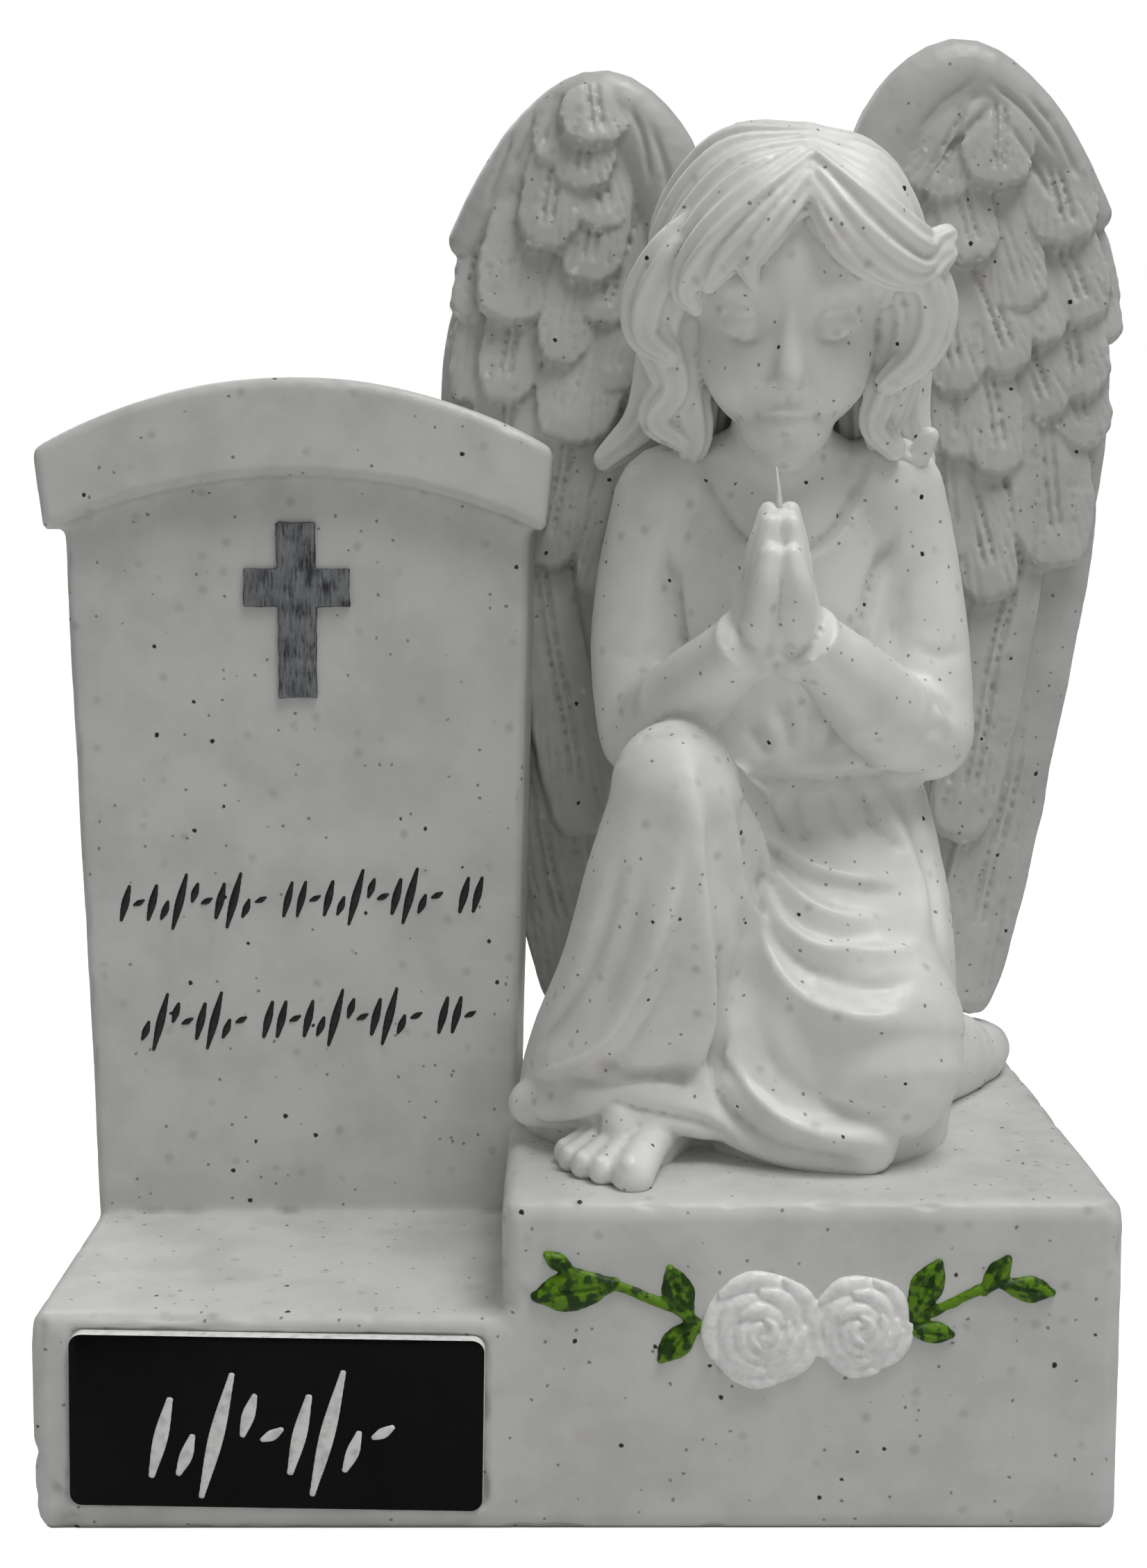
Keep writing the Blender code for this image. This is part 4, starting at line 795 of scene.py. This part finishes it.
# Wings: a blade with a thick leading edge under overlapping feathers. Places on the blade are
# the distance from the angel's middle, the depth and the height.
wing = {
    "centre": 29.3, "plane": 26.5, "halfDepth": 1.5, "lift": 2.8,
    # How much lower, and how narrow, each wing is than the one drawn here
    "shrinkRight": (0, 1.0), "shrinkLeft": (0.03, 0.95),
    # Half the gap, the width and the depth of the shaft's twin groove, and the cuts' turns and depth
    "shaft": (0.7, 0.27, 1.1), "barbs": (4.1, 0.55),
    "blade": [(31, 26, 60, 3.4, 3), (30.5, 26.5, 76, 6.2, 3.2), (32.3, 26.5, 95, 8.8, 3.6),
              (32, 26.5, 115, 13, 4), (32, 26.5, 135, 18, 4), (32, 26.5, 155, 18.8, 4),
              (30, 26.5, 172, 16.6, 4.6), (27.5, 26, 186, 11, 5.2), (26.5, 25.5, 193, 6.4, 4.6)],
    "edge": [(14.4, 22, 150, 4.6, 3.6), (14.4, 22.8, 172, 5.4, 3.8), (18, 23.6, 186.5, 5.8, 3.8),
             (26.5, 24, 194, 5.6, 3.8), (35.4, 24.6, 189.4, 5.2, 3.6), (42.4, 25, 181.6, 4.2, 3.2),
             (47.6, 25.5, 174.6, 2.8, 2.6)],
    "root": [(7, 12, 100, 7), (12, 18, 112, 7.5), (15, 21, 130, 7.5), (16, 23.5, 150, 7)],
    # Each feather's tip in X and Z, width, length, lean in degrees and how far it stands out
    "feathersRight": [
        (50.7, 176.4, 11, 15, 28, 0.9), (61.3, 177.5, 11.4, 14, 2, 0.8), (72.6, 169.6, 11, 15, -12, 1.0),
        (52.7, 170.4, 8.4, 15, 12, 0.1), (59, 166.9, 8.8, 17, -14, 0.6), (66.4, 160.2, 10, 21, -18, 0.2),
        (75.6, 158.3, 10.2, 19, -16, 0.9), (52.4, 155.4, 8.4, 19, -4, 0.2), (57, 147.7, 9, 23, -12, 0.7),
        (64.6, 150.8, 8.8, 21, -18, 0.8), (70, 155.3, 8, 17, -14, 0.1), (75.2, 147.2, 10.2, 20, -10, 0.7),
        (79.3, 155.7, 5.2, 18, -8, -0.4), (50, 147.4, 8, 20, 0, 0.0), (51.8, 138.6, 8, 21, 0, 0.3),
        (57.5, 138.2, 8.6, 21, -4, 0.4), (63, 136.0, 8.8, 23, -8, 0.9), (70.3, 144.0, 9, 18, -16, 0.0),
        (76.2, 140.2, 9.6, 19, -10, 0.4), (56.4, 123.6, 8.4, 28, -5, 0.0), (62.6, 117.3, 9.8, 33, -12, 0.6),
        (72, 122.2, 13.2, 32, -5, 1.0), (53, 100, 8, 40, 5, 0.0), (57.6, 81.2, 10.6, 50, 11, 0.9),
        (58.6, 54.5, 12.4, 84, 12, 0.1), (54.6, 63, 9, 62, 8, -0.5)],
    "feathersLeft": [
        (3.1, 183.3, 10.4, 9.6, -2, 0.9), (-3.8, 180.5, 8, 13, 20, 0.4), (0.8, 177, 9.6, 13, 5, 0.4),
        (3.9, 171.3, 8.6, 15, 0, 0.1), (-4.6, 168.7, 9.6, 20, 10, 0.9), (1.6, 163.8, 10.2, 19, 10, 0.5),
        (-10.4, 158.2, 11.2, 22, 12, 0.9), (3.1, 157.9, 9, 18, 20, 0.0), (-2.5, 152, 8.4, 20, 12, 0.6),
        (8, 153, 7.4, 15, 20, 0.3), (4.7, 148, 8.4, 20, 15, 0.7), (9.8, 146.4, 7.4, 16, 10, 0.0),
        (-10.8, 146.7, 9.2, 20, 10, 0.2), (-0.9, 140.6, 13, 22, 12, 0.6), (-16.4, 159, 5.6, 19, 13, -0.4),
        (-16.4, 147, 6, 21, 9, -0.3), (-4.6, 122, 10, 31, 10, 0.3), (3.2, 118, 9.4, 33, 12, 0.8),
        (-12, 124, 12, 31, 6, 0.6), (8.2, 130, 7.6, 26, 8, 0.1), (1.4, 82, 10.2, 48, -9, 0.9),
        (0.6, 55.5, 11.8, 82, -11, 0.1), (4.6, 64, 8.4, 60, -7, -0.5)],
    # Cuts drawn in the front view along the leading edge
    "cutsRight": [([(49, 172), (52, 180), (57, 186), (61.5, 190.5)], 0.7, -0.7, 0.4),
                  ([(45.5, 160), (47.5, 168), (52, 176)], 0.6, -0.6),
                  ([(60, 193), (66, 188.5), (71, 182)], 0.5, -0.5),
                  ([(66, 191), (70.5, 186), (74, 179)], 0.5, -0.5),
                  ([(63, 187), (67, 181.5), (70, 176)], 0.5, -0.5),
                  ([(47, 150), (48, 158), (51, 166)], 0.5, -0.5),
                  ([(50, 186), (53.5, 190), (58, 193)], 0.5, -0.4)],
    "cutsLeft": [([(-1.5, 191.5), (-3.1, 187.9), (-5, 183)], 0.5, -0.6),
                 ([(13, 172), (14.5, 165), (14, 157)], 0.5, -0.5),
                 ([(-5.8, 189), (-7.3, 185), (-9.5, 180)], 0.5, -0.6),
                 ([(-9, 186), (-11, 181), (-13, 175)], 0.5, -0.5),
                 ([(11, 187), (13, 181), (14, 175)], 0.6, -0.5),
                 ([(8, 189.5), (10, 184.5), (11, 178)], 0.5, -0.5)],
}


# A plate with a squarish, slightly ragged tip. Its front has a twin groove along the shaft
# and finer cuts that fan out towards the tip.
def feather(tip, width, length, lean, seed):
    bm = bmesh.new()
    bmesh.ops.create_uvsphere(bm, u_segments=88, v_segments=56, radius=1)
    gap, narrow, deep = wing["shaft"]
    pitch, cut = wing["barbs"]
    faint = length < 26 and seed % 3 < 1
    power = 2.0 + 0.35 * length / width
    for vert in bm.verts:
        x, y, z = vert.co
        rim = max(0, 1 - (x * x + z * z)) ** 0.5
        turn = math.atan2(z, x)
        square = (abs(math.cos(turn)) ** power + abs(math.sin(turn)) ** power) ** (-1 / power)
        torn = (0.14 * math.sin(9 * turn + seed) + 0.1 * math.sin(23 * turn + 3 * seed)) * (z < 0.1)
        x, z = x * square + math.cos(turn) * torn / (width / 2), z * square + math.sin(turn) * torn / (length / 2)
        y = max(-1, min(1, y * 3.2))
        across, down = x * width / 2, (z + 1) * length / 2
        if y < 0:
            shaft = math.exp(-(((abs(across + 0.3 * math.sin(down * 0.2 + seed)) - gap) / narrow) ** 2))
            shaft *= min(1, max(0, down - 0.16 * length) / 2) * (0.35 if faint else 1)
            fan = across * 1.1 * length / (1.1 * length - down)
            fine = max(0, math.sin(fan * pitch + seed + 0.5 * math.sin(fan * 1.7 + 2 * seed)) - 0.2)
            fine *= min(1, max(0, abs(across) - 1.2)) * min(1, max(0, 0.6 * length - down) / (0.25 * length))
            y += (deep * shaft + cut * fine) * min(1, 1.6 * rim) / wing["halfDepth"]
            y -= 0.3 * (1 - min(1, x * x)) * rim
        vert.co = (x * (1 - 0.08 * z), y, z + 1)
    size = Matrix.Diagonal((width / 2, wing["halfDepth"], length / 2, 1))
    raised = Euler((-math.atan(wing["lift"] / length), math.radians(lean), math.radians(8 * math.sin(5 * seed))))
    bmesh.ops.transform(bm, matrix=Matrix.Translation(tip) @ raised.to_matrix().to_4x4() @ size, verts=bm.verts)
    return taken(bm)


def makeWing(name, side):
    drop, narrow = wing["shrink" + name]

    def placed(u, y, z, *radii):
        return wing["centre"] + side * u * narrow, y, z - drop * (z - 44), *radii

    def front(u, z):
        heights = [s[2] for s in wing["blade"]]
        middle, half, through = (np.interp(z, heights, [s[i] for s in wing["blade"]]) for i in (0, 3, 4))
        share = min(0.9, abs(u - middle) / half)
        return wing["plane"] - through * math.sqrt(1 - share**2)

    forms = [sweep([placed(*s) for s in wing["blade"]], level=True, sides=40)]
    forms += [sweep([placed(*s) for s in wing[part]]) for part in ("edge", "root")]
    for i, (x, z, width, length, lean, out) in enumerate(wing["feathers" + name]):
        u, level = abs(x - wing["centre"]) / narrow, (z - 44 * drop) / (1 - drop)
        forms.append(feather((x, front(u, level) - 0.9 - out, z), width, length, lean, 1.7 * i + side))
    made = fused("wing" + name, forms, "wing")
    carve(made, wing["cuts" + name])
    return thinned(roughened(made, "wing"), "wing")


for name, side in (("Right", 1), ("Left", -1)):
    finishedCasting(makeWing(name, side), wingResin)

# Roses and leaves in relief on the block's front
sprig = {
    "roses": [((23.8, 27.3), 7.8, 0.3), ((36.4, 27.8), 6.8, 1.4)],
    "stems": [[(18, 26), (13.5, 29.5), (7.5, 32.2), (3, 33.8), (-1, 35)], [(41, 27.5), (46.5, 30), (51.5, 32.6)]],
    "leaves": [((-0.5, 35), (-3.7, 37.2)), ((4.8, 33.3), (-5, 31.6)), ((14.4, 28.6), (12, 35.3)),
               ((15.4, 28.2), (10.9, 23.3)), ((42.9, 29.1), (46.2, 36)), ((42.9, 27.2), (48, 26.6)),
               ((52.1, 32.2), (55, 36.6)), ((54.5, 33), (60.6, 32.2))],
    # Each ring's reach, count, width and lift, the petal's swing and taper, and the leaf's half width along it
    "petalRings": ((0.82, 5, 0.17, 0.2), (0.58, 4, 0.16, 0.6), (0.35, 3, 0.13, 0.95), (0.15, 2, 0.1, 1.25)),
    "petal": ((-1, 0.3), (-0.6, 0.8), (-0.2, 1), (0.2, 1), (0.6, 0.75), (1, 0.3)),
    "leaf": ((0, 0.5), (0.3, 1.5), (0.6, 1.9), (0.85, 1.2), (1, 0.4)),
}


# A flat bloom: broad petals that wind in towards a small bud
def roseForms(centre, radius, start):
    x, z = centre
    forms = [ball((x, blockFront + 0.2, z), (radius * 0.97, 1.3, radius * 0.97))]
    for reach, count, wide, lift in sprig["petalRings"]:
        for i in range(count):
            turn = 2 * math.pi * (i + 3.7 * reach + start) / count
            petal = []
            for swing, taper in sprig["petal"]:
                a = turn + swing * 3.7 / count
                out = radius * (reach + 0.1 * swing)
                petal.append((x + out * math.cos(a), blockFront - lift - 0.3 * swing, z + out * math.sin(a),
                              radius * wide * taper, 0.25 + 0.55 * taper))
            forms.append(sweep(petal, sides=18))
    return forms


def makeRoses():
    forms = [form for bloom in sprig["roses"] for form in roseForms(*bloom)]
    return thinned(roughened(fused("roses", forms, "roses"), "roses"), "roses")


def makeLeaves():
    forms = [sweep([(x, blockFront + 0.1, z, 0.7) for x, z in stem], sides=16) for stem in sprig["stems"]]
    veins = []
    for (x0, z0), (x1, z1) in sprig["leaves"]:
        wide, long = x1 - x0, z1 - z0
        size = math.hypot(wide, long)
        forms.append(sweep([(x0 + wide * t, blockFront + 0.3, z0 + long * t, half * size / 7 + 0.2, 1.2)
                            for t, half in sprig["leaf"]], sides=24))
        veins.append(([(x0 + wide * t, z0 + long * t) for t in (0.1, 0.5, 0.9)], 0.3, -0.4))
    leaves = carve(fused("leaves", forms, "leaves"), veins)
    return thinned(roughened(leaves, "leaves"), "leaves")


finishedCasting(makeRoses(), plainPaint("rosePaint"))
finishedCasting(makeLeaves(), leafPaint())

# The raised cross
cross = {"width": 15.0, "height": 24.8, "bar": 5.4, "top": 129.4, "relief": 0.8, "sink": 0.6}


def makeCross():
    half, arm, top, bar = cross["bar"] / 2, cross["width"] / 2, cross["top"], cross["bar"]
    barTop = top - 1.2 * bar
    side = [(half, top), (half, barTop), (arm, barTop), (arm, barTop - bar), (half, barTop - bar),
            (half, top - cross["height"])]
    outline = [(headstone["centre"] + x, z) for x, z in side + [(-x, z) for x, z in reversed(side)]]
    piece = slab("cross", outline, headstone["front"] - cross["relief"], headstone["front"] + cross["sink"])
    return thinned(roughened(skinned(piece, "cross"), "cross"), "cross")


finishedCasting(makeCross(), crossPaint())

# Rows of pointed brush strokes, slanted and level, in the place of the writing. A row has its
# ends in X, and its foot and head in Z. First is the stroke that it starts with.
inscription = {"rows": [((-66, -11.6), (72.4, 77.4)), ((-63.3, -13.8), (54.8, 60.0))], "rise": 0.025,
               "weight": 0.58, "pitch": 1.95, "front": headstone["front"] + 0.08, "first": 0}
plaqueRow = {"rows": [((-55.5, -19.5), (8.2, 18.6))], "rise": 0.02, "weight": 1.0, "pitch": 3.55,
             "front": plaqueFront + 0.1, "first": 2}
# Each stroke is a list of points across, up and weight, in shares of the pitch and the row's height
penStrokes = [
    [(-0.16, 0.0, 0.5), (0.0, 0.5, 1.1), (0.16, 1.0, 0.5)],
    [(-0.34, 0.44, 0.4), (0.0, 0.5, 0.85), (0.34, 0.58, 0.4)],
    [(-0.26, -0.28, 0.45), (0.0, 0.5, 1.15), (0.28, 1.3, 0.45)],
    [(-0.2, 0.02, 0.45), (0.0, 0.26, 1.0), (0.14, 0.52, 0.45)],
    [(-0.06, 0.5, 0.45), (0.06, 0.76, 1.0), (0.2, 1.02, 0.45)],
]


strokeOrder = (0, 1, 0, 3, 2, 4, 1, 0, 2, 3, 1, 4, 0)


def makeWriting(name, writing):
    forms = []
    pitch = writing["pitch"]
    for row, ((left, right), (low, high)) in enumerate(writing["rows"]):
        tall = high - low
        for i in range(int((right - left) / pitch)):
            count = i + writing["first"] + 3 * row
            if count % 13 == 11:  # a gap between groups
                continue
            x = left + pitch * (i + 0.5)
            up = low + writing["rise"] * (x - left)
            drawn = penStrokes[strokeOrder[count % len(strokeOrder)]]
            forms.append(sweep([(x + px * pitch + pz * tall * 0.14, writing["front"], up + pz * tall,
                                 writing["weight"] * w, 0.24) for px, pz, w in drawn], sides=14, perSpan=8))
    return thinned(fused(name, forms, name), name)


finishedCasting(makeWriting("inscription", inscription), plainPaint("inkPaint"))


# The plaque: a black skin on a white core, its corners rounded and its edges slightly bevelled
def makePlaque():
    plate = roundedPlate("plaque", plaqueSize["width"], plaqueSize["height"], plaqueFront, plaqueBack)
    return bevelled(plate, 0.18, 2, 60)


corePaint = plainPaint("laminateCore")
plaque = finished(makePlaque(), "name_plaque", [laminateSkin(), corePaint], 40)
for polygon in plaque.data.polygons:
    polygon.material_index = 0 if polygon.normal.y < -0.5 else 1
finished(makeWriting("plaqueStrokes", plaqueRow), "name_plaque", corePaint)

# A white floor under a soft sky, with soft lights overhead, beside the lens and behind. Each light
# has its place, size, power and target.
studio = {
    "floorGlow": 0.85, "sky": 0.37,
    "lights": {"overhead": ((0.27, -0.22, 0.98), 0.45, 5.0, (0, 0, 0.09)),
               "front": ((0.05, -0.31, 0.15), 0.14, 0.08, (0.03, 0, 0.09)),
               "back": ((-0.38, 0.5, 0.5), 0.4, 1.1, (0, 0, 0.09))},
    "lens": 51.3, "eye": (-0.00065, -0.31365, 0.13088), "tilt": -0.12132, "roll": -0.00142,
}


def floorPaint():
    n = Nodes(bpy.data.materials.new("floorPaint"))
    seen = n.add("LightPath", {}, "Is Camera Ray")
    glow = n.add("Math", {0: seen, 1: studio["floorGlow"]}, operation="MULTIPLY")
    return n.look({"Base Color": "#d9d9d9", "Roughness": 0.9, "Specular IOR Level": 0.1,
                   "Emission Color": "#ffffff", "Emission Strength": glow})


def softLight(name, place, size, power, target):
    light = bpy.data.lights.new(name, "AREA")
    light.size = size
    light.energy = power
    lamp = bpy.data.objects.new(name, light)
    lamp.location = place
    lamp.rotation_euler = (Vector(target) - Vector(place)).to_track_quat("-Z", "Y").to_euler()
    bpy.context.scene.collection.objects.link(lamp)


bm = bmesh.new()
bmesh.ops.create_grid(bm, x_segments=2, y_segments=2, size=6)
floor = newPiece("floor", bm)
floor.data.materials.append(floorPaint())

world = bpy.data.worlds.new("studio")
bpy.context.scene.world = world
n = Nodes(world)
up = n.add("SeparateXYZ", {0: n.add("TexCoord", {}, "Generated")}, "Z")
dome = n.add("MapRange", {0: up, 4: studio["sky"]})
strength = n.add("Mix", {0: n.add("LightPath", {}, "Is Camera Ray"), 2: dome, 3: 1.0})
n.connect(n.tree.nodes["Background"], {"Color": "#ffffff", "Strength": strength})
for name, settings in studio["lights"].items():
    softLight(name, *settings)

camera = bpy.data.cameras.new("camera")
camera.sensor_width = 36
camera.lens = studio["lens"]
eye = bpy.data.objects.new("camera", camera)
eye.location = studio["eye"]
eye.rotation_euler = (math.pi / 2 + studio["tilt"], 0, studio["roll"])
bpy.context.scene.collection.objects.link(eye)
bpy.context.scene.camera = eye
bpy.context.scene.view_settings.view_transform = "Standard"
print("studio made")
